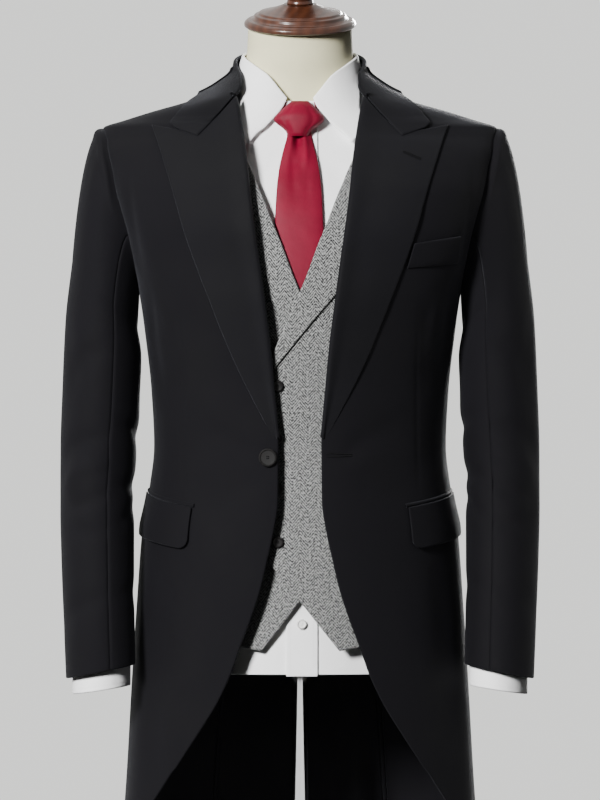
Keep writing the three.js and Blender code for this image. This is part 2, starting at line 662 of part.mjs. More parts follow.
// Rows of a collar on both sides of the neck, from one front end to the other
function collarRows(table) {
  const half = table.map((row) => ({ from: [row.edgeAngle, row.edgeZ], to: [row.foldAngle, row.foldZ] }));
  const other = half.slice(0, -1).reverse().map((row) => ({
    from: [360 - row.from[0], row.from[1]],
    to: [360 - row.to[0], row.to[1]],
  }));
  return [...half, ...other];
}

// Turns rows that run across a collar into rows that run along it
function along(places) {
  return places[0].map((_, j) => places.map((row) => row[j]));
}

function addShirtCollar() {
  const fold = curve(SHIRT_COLLAR, 'foldZ', 'foldAngle');
  const angles = [3, ...SHIRT_COLLAR.map((row) => row.foldAngle)];
  const ring = [...angles, ...angles.slice(0, -1).reverse().map((angle) => 360 - angle)];
  const half = (angle) => Math.min(angle, 360 - angle);
  const stand = [0, 0.5, 1].map((share) => ring.map((angle) => ({
    angle,
    z: mix(shirtNeck(half(angle)) + 8 * SEAM_GAP, fold(half(angle)) - 1, share),
  })));
  const [standOuter, standInner] = clothOn(figure, stand, OUT.shirt, CLOTH.shirt);
  addWall('shirt_collar_stand', standOuter, standInner, MATERIALS.shirt);
  const bandRing = ring.slice(1, -1);
  const band = [TIE_BAND.bottom, TIE_BAND.top].map((lift) => bandRing.map((angle) => ({
    angle,
    z: fold(half(angle)) + lift,
  })));
  const [bandOuter, bandInner] = clothOn(figure, band, OUT.band, TIE_BAND.wall);
  addWall('tie_band', bandOuter, bandInner, MATERIALS.tie);
  const places = along(spanRows(collarRows(SHIRT_COLLAR), 4));
  const [outer, inner] = clothOn(figure, places, OUT.collar, CLOTH.shirt);
  addWall('shirt_collar', outer, inner, MATERIALS.shirt);
}

// Sleeves

const sleeve = Object.fromEntries(['inner', 'outer', 'mid', 'depth', 'slope'].map((key) => {
  const table = SLEEVE.map((row) => ({ ...row, down: -row.z }));
  return [key, (z) => curve(table, key, 'down')(-z)];
}));

// A point of the sleeve tube: 0 at the outer side, 90 at the front, 180 at the inner side
function sleevePoint(around, z, inset) {
  const turn = around * DEGREE;
  const width = (sleeve.outer(z) - sleeve.inner(z)) / 2;
  const x = (sleeve.outer(z) + sleeve.inner(z)) / 2 + (width - inset.side) * Math.cos(turn);
  const y = sleeve.mid(z) - (sleeve.depth(z) - inset.depth) * Math.sin(turn);
  return new THREE.Vector3(x, y, z + (sleeve.slope(z) * (width - inset.side) * Math.cos(turn)) / width);
}

// A point of the sleeve head, eased from the armhole's edge to the first ring of the tube
function headPoint(start, around, share, inset, pull) {
  const turn = around * DEGREE;
  const end = sleevePoint(around, SLEEVE[0].z, inset);
  const under = (1 - Math.cos(turn)) / 2;
  const away = new THREE.Vector3(1, -HEAD_PULL.forward * Math.sin(turn), 0);
  away.multiplyScalar(pull.out * (1 - under));
  away.add(new THREE.Vector3(pull.underOut * under, 0, -pull.underDown * under * under));
  const drop = new THREE.Vector3(HEAD_PULL.splay * (1 - under), 0, -mix(pull.down, pull.under, under));
  const rest = 1 - share;
  return start.clone().multiplyScalar((1 + 2 * share) * rest * rest)
    .addScaledVector(away, share * rest * rest)
    .addScaledVector(end, (3 - 2 * share) * share * share)
    .addScaledVector(drop, -share * share * rest);
}

// The whole sleeve surface: the head from 0 to 1, then one step for each station of the tube
function sleeveSurface(body, hole, out, inset, bottom, pull) {
  const levels = SLEEVE.map((row) => row.z).filter((z) => z > bottom);
  const tube = [...levels, bottom];
  return (around, step) => {
    if (step <= 1) {
      const start = armholePoint(body, hole, around, out).add(new THREE.Vector3(SEAM_GAP + 0.1, 0, 0));
      return headPoint(start, around, step, inset, pull);
    }
    const i = Math.min(Math.floor(step - 1), tube.length - 2);
    return sleevePoint(around, mix(tube[i], tube[i + 1], step - 1 - i), inset);
  };
}

// Outer and inner faces of a tube surface at the given turns and steps
function tubeWall(surface, turns, steps, thickness) {
  const normal = (around, step) => {
    const low = Math.max(step - 0.02, 0);
    const round = surface(around + 1, step).sub(surface(around - 1, step));
    const down = surface(around, low + 0.04).sub(surface(around, low));
    return round.cross(down).normalize();
  };
  const outer = steps.map((step) => turns.map((around) => surface(around, step)));
  const inner = steps.map((step) => turns.map((around) => surface(around, step)
    .addScaledVector(normal(around, step), -thickness)));
  return [outer, inner];
}

function turnsBetween(from, to, count) {
  return Array.from({ length: count }, (_, j) => mix(from, to, j / (count - 1)));
}

function addCoatSleeves() {
  const surface = sleeveSurface(coat, COAT_ARMHOLE, 0, { side: 0, depth: 0 }, SLEEVE.at(-1).z, COAT_HEAD);
  const head = Array.from({ length: HEAD_STEPS }, (_, i) => (i / HEAD_STEPS) ** 1.2);
  const steps = [...head, ...SLEEVE.map((_, i) => i + 1)];
  const gap = SEAM_GAP / 2 / 45 / DEGREE;
  const parts = {
    coat_top_sleeve: turnsBetween(-SLEEVE_SEAM + gap, SLEEVE_SEAM - gap, 10),
    coat_under_sleeve: turnsBetween(SLEEVE_SEAM + gap, 360 - SLEEVE_SEAM - gap, 6),
  };
  for (const [name, turns] of Object.entries(parts)) {
    const [outer, inner] = tubeWall(surface, turns, steps, CLOTH.coat - 0.3);
    for (const side of ['left', 'right']) {
      addSided(name, side, outer, inner, MATERIALS.coat);
    }
  }
}

function cuffRing(z, inset, turns) {
  const { top, bottom, inner, outer, midTop, midBottom, depth, slope } = SHIRT_CUFF;
  const width = (outer - inner) / 2;
  const mid = mix(midBottom, midTop, (z - bottom) / (top - bottom));
  return turns.map((around) => new THREE.Vector3(
    (outer + inner) / 2 + (width - inset) * Math.cos(around * DEGREE),
    mid - (depth - inset) * Math.sin(around * DEGREE),
    z + slope * Math.cos(around * DEGREE),
  ));
}

function addShirtSleeves() {
  const foot = SHIRT_CUFF.top + 2 * SEAM_GAP;
  const surface = sleeveSurface(figure, SHIRT_ARMHOLE, OUT.shirt, SHIRT_SLEEVE_INSET, foot, SHIRT_HEAD);
  const turns = turnsBetween(0, 324, 10);
  const steps = [0, 0.2, 0.4, 0.65, 1, 2, 4, 6, 8];
  const [outer, inner] = tubeWall(surface, turns, steps, CLOTH.shirt);
  const cuffTurns = turnsBetween(0, 340, 18);
  const heights = [SHIRT_CUFF.top, SHIRT_CUFF.bottom];
  const cuffOuter = heights.map((z) => cuffRing(z, 0, cuffTurns));
  const cuffInner = heights.map((z) => cuffRing(z, SHIRT_CUFF.wall, cuffTurns));
  for (const side of ['left', 'right']) {
    const turn = side === 'left' ? (grid) => grid : mirrorGrid;
    addWall(`shirt_sleeve_${side}`, turn(outer), turn(inner), MATERIALS.shirt, true);
    addWall(`shirt_cuff_${side}`, turn(cuffOuter), turn(cuffInner), MATERIALS.shirt, true);
  }
}

// The tie

function addTie() {
  const rows = BLADE.map(({ z, half }) => ({
    from: [angleAt(figure, BLADE_X - half, z), z],
    to: [angleAt(figure, BLADE_X + half, z), z],
  }));
  const [outer, inner] = clothOn(figure, spanRows(rows, 5), OUT.blade, CLOTH.tie);
  addWall('tie_blade', outer, inner, MATERIALS.tie);
  const knot = KNOT.map(({ z, half, depth }) => {
    const seat = skin(figure, 0, z, OUT.collar + LIE_GAP);
    return Array.from({ length: KNOT_SEGMENTS }, (_, j) => {
      const turn = (j * 2 * Math.PI) / KNOT_SEGMENTS;
      const ahead = Math.cos(turn);
      const reach = ahead > 0 ? ahead : ahead * KNOT_BACK;
      return new THREE.Vector3(BLADE_X + half * Math.sin(turn), seat.y - depth * (KNOT_BACK + reach), z);
    });
  });
  addLoft('tie_knot', knot, MATERIALS.tie);
}

// The waistcoat

function waistcoatOut(front) {
  return ({ angle, z }) => {
    const round = Math.min(Math.abs(angle), 360 - Math.abs(angle));
    const body = mix(front, OUT.waistcoatSide, smooth(38, 84, round));
    return mix(body, OUT.waistcoatShoulder, smooth(1335, 1425, z));
  };
}

function waistcoatSide(z, side) {
  const sign = side === 'front' ? -1 : 1;
  const { z: middle, rise } = WAISTCOAT_ARMHOLE;
  const inHole = Math.abs(z - middle) < rise;
  return inHole ? armholeAngle(figure, WAISTCOAT_ARMHOLE, z, side) : 90 + sign * 3 * seamTurn(figure, z);
}

function addWaistcoat() {
  const rows = WAISTCOAT_FRONT.map(({ x, z, sideZ }) => ({
    from: [angleAt(figure, x, z), z],
    to: [waistcoatSide(sideZ, 'front'), sideZ],
  }));
  const places = spanRows(rows, 8);
  const lapelRows = WAISTCOAT_LAPEL.map(({ x, z, edgeX: outX, edgeZ }) => ({
    from: [angleAt(figure, x, z), z],
    to: [angleAt(figure, outX, edgeZ), edgeZ],
  }));
  const lapelPlaces = spanAcross(figure, lapelRows, 5);
  const fronts = { left: OUT.overFront, right: OUT.underFront };
  for (const [side, out] of Object.entries(fronts)) {
    const lie = waistcoatOut(out);
    addSided('waistcoat_front', side, ...clothOn(figure, places, lie, CLOTH.waistcoat), MATERIALS.waistcoat);
    const lift = (place) => lie(place) + LIE_GAP + CLOTH.trim;
    addSided('waistcoat_lapel', side, ...clothOn(figure, lapelPlaces, lift, CLOTH.trim), MATERIALS.waistcoat);
  }
  const { bottom, top } = WAISTCOAT_BACK;
  const between = Object.values(LEVELS).flat().filter((z) => z > bottom && z < top);
  const backRows = [bottom, ...between, top].map((z) => {
    const start = waistcoatSide(z, 'back');
    return { from: [start, z], to: [360 - start, z] };
  });
  const lie = waistcoatOut(OUT.waistcoatSide);
  const back = clothOn(figure, spanRows(backRows, 13), lie, CLOTH.waistcoat);
  addWall('waistcoat_back', ...back, MATERIALS.waistcoat);
}

// The coat

function frontEdgeAngle(z) {
  return z < TAIL_EDGE.at(-1).z ? tailAngle(z) : angleAt(coat, edgeX(z), z);
}

// The seam or edge at which the coat front ends and the side begins
function coatFrontEnd(z) {
  const { z: middle, rise } = COAT_ARMHOLE;
  if (Math.abs(z - middle) < rise) return armholeAngle(coat, COAT_ARMHOLE, z, 'front');
  return (z < middle ? seam.side(z) : 90) - seamTurn(coat, z);
}

function coatBackStart(z) {
  const { z: middle, rise } = COAT_ARMHOLE;
  if (z <= SIDE_TOP) return seam.back(z) + seamTurn(coat, z);
  if (Math.abs(z - middle) < rise) return armholeAngle(coat, COAT_ARMHOLE, z, 'back');
  return 90 + seamTurn(coat, z);
}

// The left tail laps over the right one below the top of the vent
const VENT = { top: 1000, step: 1020, lap: 7, lift: 3.4, from: 160, full: 172 };

function ventLift({ angle, z }) {
  const across = smooth(VENT.from, VENT.full, angle);
  return VENT.lift * across * (1 - smooth(VENT.step, WAIST_SEAM, z));
}

function addCoatBody() {
  const rowsFor = (levels, from, to) => levels.map((z) => ({ from: [from(z), z], to: [to(z), z] }));
  const waist = (levels, edge) => levels.map((z) => (z === WAIST_SEAM ? z + edge * (SEAM_GAP / 2) : z));
  const sideLevels = waist(COAT_LEVELS.filter((z) => z >= WAIST_SEAM && z < SIDE_TOP), 1).concat(SIDE_TOP - 6);
  const skirtLevels = waist(COAT_LEVELS.filter((z) => z <= WAIST_SEAM), -1);
  const { z: middle, rise } = COAT_ARMHOLE;
  const underArm = (z) => (z > middle - rise
    ? armholeAngle(coat, COAT_ARMHOLE, z, 'back')
    : seam.side(z) + seamTurn(coat, z));
  const backEnd = (z) => seam.back(z) - seamTurn(coat, z);
  const pieces = {
    coat_front: [spanRows(rowsFor(COAT_LEVELS, frontEdgeAngle, coatFrontEnd), 8), 0],
    coat_side: [spanRows(rowsFor(sideLevels, underArm, backEnd), 5), 0],
    coat_skirt: [spanRows(rowsFor(skirtLevels, (z) => seam.side(z) + seamTurn(coat, z), backEnd), 5), 0],
  };
  for (const [name, [places, out]] of Object.entries(pieces)) {
    const [outer, inner] = clothOn(coat, places, out, CLOTH.coat);
    for (const side of ['left', 'right']) addSided(name, side, outer, inner, MATERIALS.coat);
  }
  const centre = (z) => 180 - SEAM_GAP / 2 / coat.back(z) / DEGREE;
  const lapped = (z) => (z <= VENT.top ? 180 + VENT.lap : centre(z));
  const over = spanRows(rowsFor(COAT_LEVELS, coatBackStart, lapped), [0, 0.25, 0.5, 0.7, 0.85, 1]);
  addSided('coat_back', 'left', ...clothOn(coat, over, ventLift, CLOTH.coat), MATERIALS.coat);
  const under = spanRows(rowsFor(COAT_LEVELS, coatBackStart, centre), 6);
  addSided('coat_back', 'right', ...clothOn(coat, under, 0, CLOTH.coat), MATERIALS.coat);
}

function notchDrop(notch) {
  return (share, height) => {
    const near = share < notch.at ? share / notch.at : (1 - share) / (1 - notch.at);
    return -notch.drop * near * height ** notch.fade;
  };
}

function addLapels() {
  const rows = COAT_LAPEL.map((row) => ({
    from: [angleAt(coat, row.rollX, row.rollZ), row.rollZ],
    to: [angleAt(coat, row.edgeX, row.edgeZ), row.edgeZ],
  }));
  const places = spanAcross(coat, rows, LAPEL_COLUMNS, notchDrop(NOTCH));
  const lift = ({ share }) => LAPEL_GAP + CLOTH.lapel + ROLL.rise * Math.exp(-((share / ROLL.reach) ** 2));
  const [outer, inner] = clothOn(coat, places, lift, CLOTH.lapel);
  for (const side of ['left', 'right']) addSided('coat_lapel', side, outer, inner, MATERIALS.coat);
}

function addCoatCollar() {
  const rows = collarRows(COAT_COLLAR);
  const drop = notchDrop(COLLAR_NOTCH);
  const bend = (share, place) => drop(1 - share, Math.abs(2 * place - 1));
  const places = along(spanAcross(coat, rows, 6, bend));
  const lift = COLLAR_GAP + CLOTH.lapel;
  addWall('coat_collar', ...clothOn(coat, places, lift, CLOTH.lapel), MATERIALS.coat);
  const fold = curve(COAT_COLLAR, 'foldZ', 'foldAngle');
  const half = [78, 98, 118, 139, 160, 180];
  const ring = [...half, ...half.slice(0, -1).reverse().map((angle) => 360 - angle)];
  const stand = [COAT_LEVELS.at(-1) + 4 * SEAM_GAP, null].map((z) => ring.map((angle) => ({
    angle,
    z: z ?? fold(Math.min(angle, 360 - angle)) - SEAM_GAP,
  })));
  addWall('coat_collar_stand', ...clothOn(coat, stand, 0, CLOTH.lapel), MATERIALS.coat);
}

function addPockets() {
  const flapRows = FLAP_ROWS.map(({ share, inset }) => ({
    from: [FLAP.from + inset, FLAP.topFront - FLAP.depth * share],
    to: [FLAP.to - inset, FLAP.topSide - FLAP.depth * share],
  }));
  const lift = LIE_GAP + CLOTH.trim;
  const jetRows = [4 * SEAM_GAP, JETTING.rise].map((rise) => ({
    from: [FLAP.from - JETTING.overhang, FLAP.topFront + rise],
    to: [FLAP.to + JETTING.overhang, FLAP.topSide + rise],
  }));
  const flap = clothOn(coat, spanRows(flapRows, 7), lift, CLOTH.trim);
  const jetting = clothOn(coat, spanRows(jetRows, 7), lift - JETTING.sink, JETTING.wall);
  for (const side of ['left', 'right']) {
    addSided('coat_pocket_flap', side, ...flap, MATERIALS.coat);
    addSided('coat_pocket_jetting', side, ...jetting, MATERIALS.coat);
  }
  const weltRows = [['bottomX', 'bottomZ'], ['topX', 'topZ']].map(([across, up]) => ({
    from: [angleAt(coat, WELT[across][0], WELT[up][0]), WELT[up][0]],
    to: [angleAt(coat, WELT[across][1], WELT[up][1]), WELT[up][1]],
  }));
  addWall('coat_breast_welt', ...clothOn(coat, spanRows(weltRows, 5), lift, CLOTH.trim), MATERIALS.coat);
}

// Buttons

function addButton(name, size, seat, direction, material) {
  const { radius, thickness } = size;
  const { chamfer, dish } = BUTTON_RIM;
  const profile = [
    [0, 0], [radius, 0], [radius, thickness - chamfer], [radius - chamfer, thickness], [0, thickness - dish],
  ];
  addTurned(name, profile, seat, direction, material, 10);
}

function buttonOn(name, size, body, angle, z, out, material, mirrored = false) {
  const seat = skin(body, angle, z, out);
  const direction = bodyNormal(body, angle, z);
  const flip = mirrored ? new THREE.Vector3(-1, 1, 1) : new THREE.Vector3(1, 1, 1);
  addButton(name, size, seat.multiply(flip), direction.multiply(flip), material);
}

function addButtons() {
  const frontAngle = angleAt(coat, COAT_BUTTON.x, COAT_BUTTON.z);
  const front = [coat, frontAngle, COAT_BUTTON.z, BUTTON_GAP.coat, MATERIALS.button];
  buttonOn('coat_button_front', BUTTON.coat, ...front);
  const back = [coat, BACK_BUTTONS.angle, BACK_BUTTONS.z, BUTTON_GAP.coatBack, MATERIALS.button];
  buttonOn('coat_button_back_left', BUTTON.coat, ...back);
  buttonOn('coat_button_back_right', BUTTON.coat, ...back, true);
  const { x, lowest, pitch, count } = WAISTCOAT_BUTTONS;
  const waistcoatSeat = OUT.overFront + BUTTON_GAP.waistcoat;
  for (let i = 0; i < count; i += 1) {
    const z = lowest + i * pitch;
    const place = [figure, angleAt(figure, x, z), z, waistcoatSeat];
    buttonOn(`waistcoat_button_${i + 1}`, BUTTON.waistcoat, ...place, MATERIALS.button);
  }
  const shirtAngle = angleAt(figure, SHIRT_BUTTON.x, SHIRT_BUTTON.z);
  const shirtSeat = OUT.placket + BUTTON_GAP.shirt;
  buttonOn('shirt_button', BUTTON.shirt, figure, shirtAngle, SHIRT_BUTTON.z, shirtSeat, MATERIALS.pearl);
  addSleeveButtons();
}

function addSleeveButtons() {
  const plain = { side: 0, depth: 0 };
  const { around, lowest, pitch, count } = CUFF_BUTTONS;
  for (const [side, sign] of [['left', 1], ['right', -1]]) {
    for (let i = 0; i < count; i += 1) {
      const z = lowest + i * pitch;
      const point = sleevePoint(around, z, plain);
      const round = sleevePoint(around + 1, z, plain).sub(sleevePoint(around - 1, z, plain));
      const up = sleevePoint(around, z + 2, plain).sub(sleevePoint(around, z - 2, plain));
      const direction = up.cross(round).normalize();
      if (direction.y < 0) direction.negate();
      const flip = new THREE.Vector3(sign, 1, 1);
      const seat = point.addScaledVector(direction, BUTTON_GAP.sleeve).multiply(flip);
      direction.multiply(flip);
      addButton(`sleeve_button_${side}_${i + 1}`, BUTTON.sleeve, seat, direction, MATERIALS.button);
    }
  }
}

addForm();
addStand();
addShirtBody();
addPlacket();
addShirtCollar();
addShirtSleeves();
addTie();
addWaistcoat();
addCoatBody();
addCoatSleeves();
addLapels();
addCoatCollar();
addPockets();
addButtons();

export default suit;
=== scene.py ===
"""A black morning coat open over a pale grey waistcoat, a white shirt and a crimson tie, on a dress form.

Tables and sizes are in millimetres and degrees, as a cutter writes them; meshes are in metres.
The front faces -Y, +Z is up and the wearer's left is +X.
"""

import logging
import math
from dataclasses import dataclass, field
from enum import Enum
from typing import Callable, ClassVar, Iterable, Sequence

import bpy
import numpy as np
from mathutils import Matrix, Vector


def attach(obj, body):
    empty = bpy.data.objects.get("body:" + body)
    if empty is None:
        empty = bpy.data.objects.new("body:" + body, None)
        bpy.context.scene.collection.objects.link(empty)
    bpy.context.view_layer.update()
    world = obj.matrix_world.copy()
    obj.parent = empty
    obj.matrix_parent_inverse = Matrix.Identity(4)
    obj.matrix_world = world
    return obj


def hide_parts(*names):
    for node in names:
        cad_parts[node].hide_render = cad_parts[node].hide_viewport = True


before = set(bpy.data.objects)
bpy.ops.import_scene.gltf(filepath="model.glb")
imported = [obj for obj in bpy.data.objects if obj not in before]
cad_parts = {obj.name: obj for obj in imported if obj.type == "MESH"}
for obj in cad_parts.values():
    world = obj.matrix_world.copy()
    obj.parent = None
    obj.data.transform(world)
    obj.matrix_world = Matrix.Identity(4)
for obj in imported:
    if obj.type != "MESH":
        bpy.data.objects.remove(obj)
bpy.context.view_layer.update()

log = logging.getLogger("morning_suit")
MM = 0.001
Array = np.ndarray
Curve = Callable[[Array], Array]
Material = bpy.types.Material
Socket = bpy.types.NodeSocket


class Side(Enum):
    """The wearer's side that a piece is on."""

    LEFT = "left"
    RIGHT = "right"


class Edge(Enum):
    """An edge of a piece of cloth, named as its grid runs."""

    FIRST_ROW = "first_row"
    LAST_ROW = "last_row"
    FIRST_COLUMN = "first_column"
    LAST_COLUMN = "last_column"


ROW_EDGES = (Edge.FIRST_ROW, Edge.LAST_ROW)
COLUMN_EDGES = (Edge.FIRST_COLUMN, Edge.LAST_COLUMN)


# Curves through tables


class Table:
    """Rows of sizes under named columns."""

    def __init__(self, columns: str, *rows: Sequence[float]) -> None:
        """Keeps each column under its name."""
        values = np.array(rows, float)
        self.column = {name: values[:, i] for i, name in enumerate(columns.split())}
        self.count = len(rows)

    def __getitem__(self, key: str) -> Array:
        """Returns one column."""
        return self.column[key]

    def curve(self, key: str, by: str = "z") -> Curve:
        """Returns a smooth curve through one column that never overshoots its rows."""
        return smooth_curve(self[by], self[key])

    def spread(self, count: int, corners: Iterable[int] = ()) -> dict[str, Array]:
        """Spreads the rows out evenly by their order, smooth between corners.

        Args:
            count: How many places there are in all.
            corners: Rows at which the curves keep a corner.

        Returns:
            Each column at those places.
        """
        last = self.count - 1
        stops = [0, *corners, last]
        order = np.arange(self.count, dtype=float)
        places = np.union1d(np.linspace(0, last, count), np.array(stops, float))
        spread: dict[str, Array] = {}
        for key, value in self.column.items():
            parts = []
            for low, high in zip(stops, stops[1:]):
                ends_here = high == last
                inside = (places >= low) & ((places <= high) if ends_here else (places < high))
                part = smooth_curve(order[low : high + 1], value[low : high + 1])
                parts.append(part(places[inside]))
            spread[key] = np.concatenate(parts)
        return spread


def smooth_curve(at: Array, value: Array) -> Curve:
    """Returns a monotone cubic curve through points.

    Args:
        at: Rising places.
        value: The value at each.

    Returns:
        A function from places to values, level beyond both ends.
    """
    slope = np.diff(value) / np.diff(at)
    tangent = np.empty_like(value)
    tangent[0], tangent[-1] = slope[0], slope[-1]
    before, after = slope[:-1], slope[1:]
    total = np.where(before * after > 0, before + after, 1.0)
    tangent[1:-1] = np.where(before * after > 0, 2 * before * after / total, 0.0)

    def at_places(place: Array) -> Array:
        """Evaluates the curve."""
        clamped = np.clip(place, at[0], at[-1])
        i = np.clip(np.searchsorted(at, clamped, "right") - 1, 0, len(at) - 2)
        width = at[i + 1] - at[i]
        t = (clamped - at[i]) / width
        rest = 1 - t
        ease = value[i] * (1 + 2 * t) * rest * rest + value[i + 1] * (3 - 2 * t) * t * t
        return ease + width * t * rest * (tangent[i] * rest - tangent[i + 1] * t)

    return at_places


def mix(start: Array | float, end: Array | float, share: Array | float) -> Array | float:
    """Returns the value at a share of the way from start to end."""
    return start + (end - start) * share


def ease(start: float, end: float, place: Array) -> Array:
    """Returns 0 before start and 1 after end, with a soft step between."""
    t = np.clip((place - start) / (end - start), 0, 1)
    return t * t * (3 - 2 * t)


def unit(vectors: Array) -> Array:
    """Returns the vectors at length 1."""
    length = np.linalg.norm(vectors, axis=-1, keepdims=True)
    return vectors / np.maximum(length, 1e-9)


# Sizes of the cloth and of the layers

SEAM_GAP = 0.3
CLOTH = {"shirt": 1.2, "tie": 3.0, "waistcoat": 2.0, "coat": 2.5, "lapel": 2.0, "trim": 1.8}
LIE_GAP = 1.1
LAPEL_GAP = 1.5
COLLAR_GAP = 2.6
RIM_SWELL = 0.42
OUT = {
    "form": -4.4,
    "form_shoulder": -0.75,
    "shirt": 1.7,
    "placket": 4.0,
    "band": 3.5,
    "collar": 5.3,
    "blade": 8.0,
    "under_front": 11.2,
    "over_front": 17.8,
    "waistcoat_side": 7.2,
    "waistcoat_shoulder": 6.3,
}

# The figure: half width, reach to the front and the back, middle line and squareness of each level
FIGURE = Table(
    "z side front back mid square",
    (780, 164, 112, 124, 8, 2.1),
    (880, 160, 109, 120, 8, 2.1),
    (940, 157, 108, 115, 8, 2.1),
    (1000, 149, 104, 103, 6, 2.1),
    (1050, 143, 100, 94, 4, 2.1),
    (1110, 147, 103, 96, 2, 2.1),
    (1180, 156, 109, 102, 1, 2.2),
    (1250, 165, 113, 106, 1, 2.4),
    (1310, 175, 109, 106, 2, 2.5),
    (1350, 184, 100, 101, 4, 2.5),
    (1380, 192, 87, 92, 6, 2.4),
    (1396, 196, 77, 84, 6, 2.3),
    (1408, 194, 70, 77, 6, 2.15),
    (1417, 183, 65, 73, 6, 2),
    (1426, 161, 62, 70, 6, 2),
    (1441, 117, 59, 66, 6, 2),
    (1456, 91, 57, 62, 5, 2),
    (1472, 73, 55, 59, 5, 2),
    (1488, 64.5, 54, 57, 5, 2),
    (1506, 61.5, 53.5, 56, 4, 2),
    (1538, 60, 52.5, 55, 1, 2),
)

# The outer face of the coat, down to the hem of the tails
COAT = Table(
    "z side front back mid square",
    (478, 212, 152, 160, 18, 2.1),
    (600, 205, 148, 152, 14, 2.1),
    (690, 199, 145, 146, 12, 2.1),
    (780, 194, 142, 140, 10, 2.1),
    (880, 187.5, 138, 134, 8, 2.1),
    (960, 181.5, 134, 125, 7, 2.1),
    (1010, 173, 129, 115, 5, 2.1),
    (1056, 168, 126, 107, 4, 2.1),
    (1120, 171, 128, 108, 2, 2.1),
    (1180, 177.5, 134, 114, 1, 2.2),
    (1230, 184.5, 137, 118, 1, 2.5),
    (1262, 192, 136, 119, 2, 2.8),
    (1294, 200, 135, 119, 2, 3),
    (1345, 216, 126, 115, 4, 3),
    (1374, 223, 113, 107, 5, 2.8),
    (1400, 229, 97, 98, 6, 2.45),
    (1412, 229, 87, 92, 6, 2.25),
    (1422, 226.5, 82, 88, 6, 2.1),
    (1431, 201, 79, 85, 6, 2),
    (1440, 172.5, 77, 83, 6, 2),
    (1455, 122, 73, 78, 5, 2),
    (1470, 93, 70, 73, 5, 2),
    (1486, 75, 65, 68, 5, 2),
    (1500, 72, 63, 67, 4, 2),
    (1516, 71, 62, 66, 3, 2),
)

WAIST_SEAM = 1040.0
SIDE_TOP = 1290.0

# Front edge of the coat: half distance from the centre line while it faces front
COAT_EDGE = Table(
    "z x",
    (690, 142), (732, 115), (765, 95), (797, 80), (828, 69), (857, 58), (893, 46), (926, 38), (957, 31),
    (994, 25.5), (1062, 25), (1112, 30.5), (1171, 37), (1235, 45.5), (1323, 58), (1396, 65), (1455, 72),
    (1488, 71),
)

# The same edge as angles from the front, where the tails curve away to the side
TAIL_EDGE = Table(
    "z angle",
    (478, 113), (492, 109.5), (522, 99), (562, 84.5), (606, 70), (650, 56.5), (690, 45),
)

# Seams of the coat body as angles from the front
COAT_SEAMS = Table(
    "z side back",
    (478, 117.5, 150),
    (600, 111, 151),
    (760, 102, 153),
    (900, 95, 156),
    (1040, 90, 158),
    (1130, 89, 150),
    (1230, 89.5, 134),
    (1290, 89.5, 118),
)

# Stations of the coat sleeve: inner and outer edge from the front, middle line, half depth, slope
SLEEVE = Table(
    "down inner outer mid depth slope",
    (-1230, 186.5, 262, 0, 58, 38),
    (-1180, 181.5, 269.5, -3, 59, 22),
    (-1112, 183.5, 273, -9, 57, 10),
    (-1050, 187.5, 275, -16, 55, 4),
    (-992, 190, 275, -25, 53, 0),
    (-935, 190, 273.5, -35, 51, -3),
    (-876, 189.5, 271, -45, 49, -5),
    (-800, 188, 267.5, -56, 47, -8),
)

# Peak lapel of the coat: points of the roll line and of the outer edge, row by row
COAT_LAPEL = Table(
    "roll_x roll_z edge_x edge_z",
    (26, 1066, 28.5, 1064),
    (28.3, 1092, 46, 1097.5),
    (32, 1125, 64.5, 1134),
    (37, 1171, 81, 1171),
    (43, 1218, 102, 1224),
    (49, 1262, 119, 1268),
    (55, 1304, 132, 1306),
    (60, 1343, 142, 1342),
    (64, 1382, 152, 1374),
    (69, 1420, 161.5, 1403),
    (73.5, 1451, 168, 1422),
)

# Collar of the coat, from its front end over the shoulder to the middle of the back
COAT_COLLAR = Table(
    "fold_angle fold_z edge_angle edge_z",
    (36.4, 1452.6, 36.7, 1418.2),
    (41, 1463, 43, 1428),
    (49, 1472, 52, 1441),
    (61, 1482, 65, 1450),
    (76, 1491, 79, 1457),
    (98, 1500, 98, 1461),
    (124, 1507, 123, 1461),
    (152, 1511, 151, 1461),
    (180, 1512, 180, 1461),
)

# Collar of the shirt, from its front end to the middle of the back
SHIRT_COLLAR = Table(
    "fold_angle fold_z edge_angle edge_z",
    (9, 1453, 14.4, 1398),
    (18, 1465, 23.5, 1422),
    (30, 1478, 35, 1442),
    (44, 1487, 48, 1458),
    (60, 1495, 60, 1470),
    (78, 1501, 78, 1477),
    (98, 1506, 98, 1481),
    (118, 1509, 118, 1484),
    (139, 1512, 139, 1485),
    (160, 1514, 160, 1486),
    (180, 1514, 180, 1486),
)

# Front of the waistcoat: inner edge by place, outer edge by level
WAISTCOAT_FRONT = Table(
    "x z side_z",
    (42.5, 824, 866),
    (27, 844.5, 878),
    (5.5, 873.5, 896),
    (-14, 899.5, 913),
    (-33, 925, 932),
    (-33.5, 962, 964),
    (-33.5, 1000, 1000),
    (-33.5, 1050, 1050),
    (-33, 1110, 1110),
    (-32, 1148, 1148),
    (-24.5, 1170, 1170),
    (-8, 1210, 1210),
    (9.5, 1251, 1251),
    (22, 1284, 1284),
    (35, 1316, 1316),
    (47.5, 1346, 1346),
    (59, 1372, 1372),
    (67.5, 1394, 1394),
    (73, 1408, 1408),
    (76, 1417, 1417),
    (79, 1426, 1426),
    (85, 1441, 1441),
    (88, 1455, 1455),
)
WAISTCOAT_LAPEL = Table(
    "x z edge_x edge_z",
    (-30.5, 1153, -27, 1148),
    (-24, 1171, -10, 1170),
    (-7.5, 1211, 21.5, 1210),
    (9.5, 1251, 54, 1251),
    (22, 1284, 71, 1284),
    (35, 1316, 80, 1316),
    (47.5, 1346, 87, 1346),
    (59, 1372, 92, 1372),
    (67.5, 1394, 96, 1394),
    (73, 1408, 98, 1408),
)

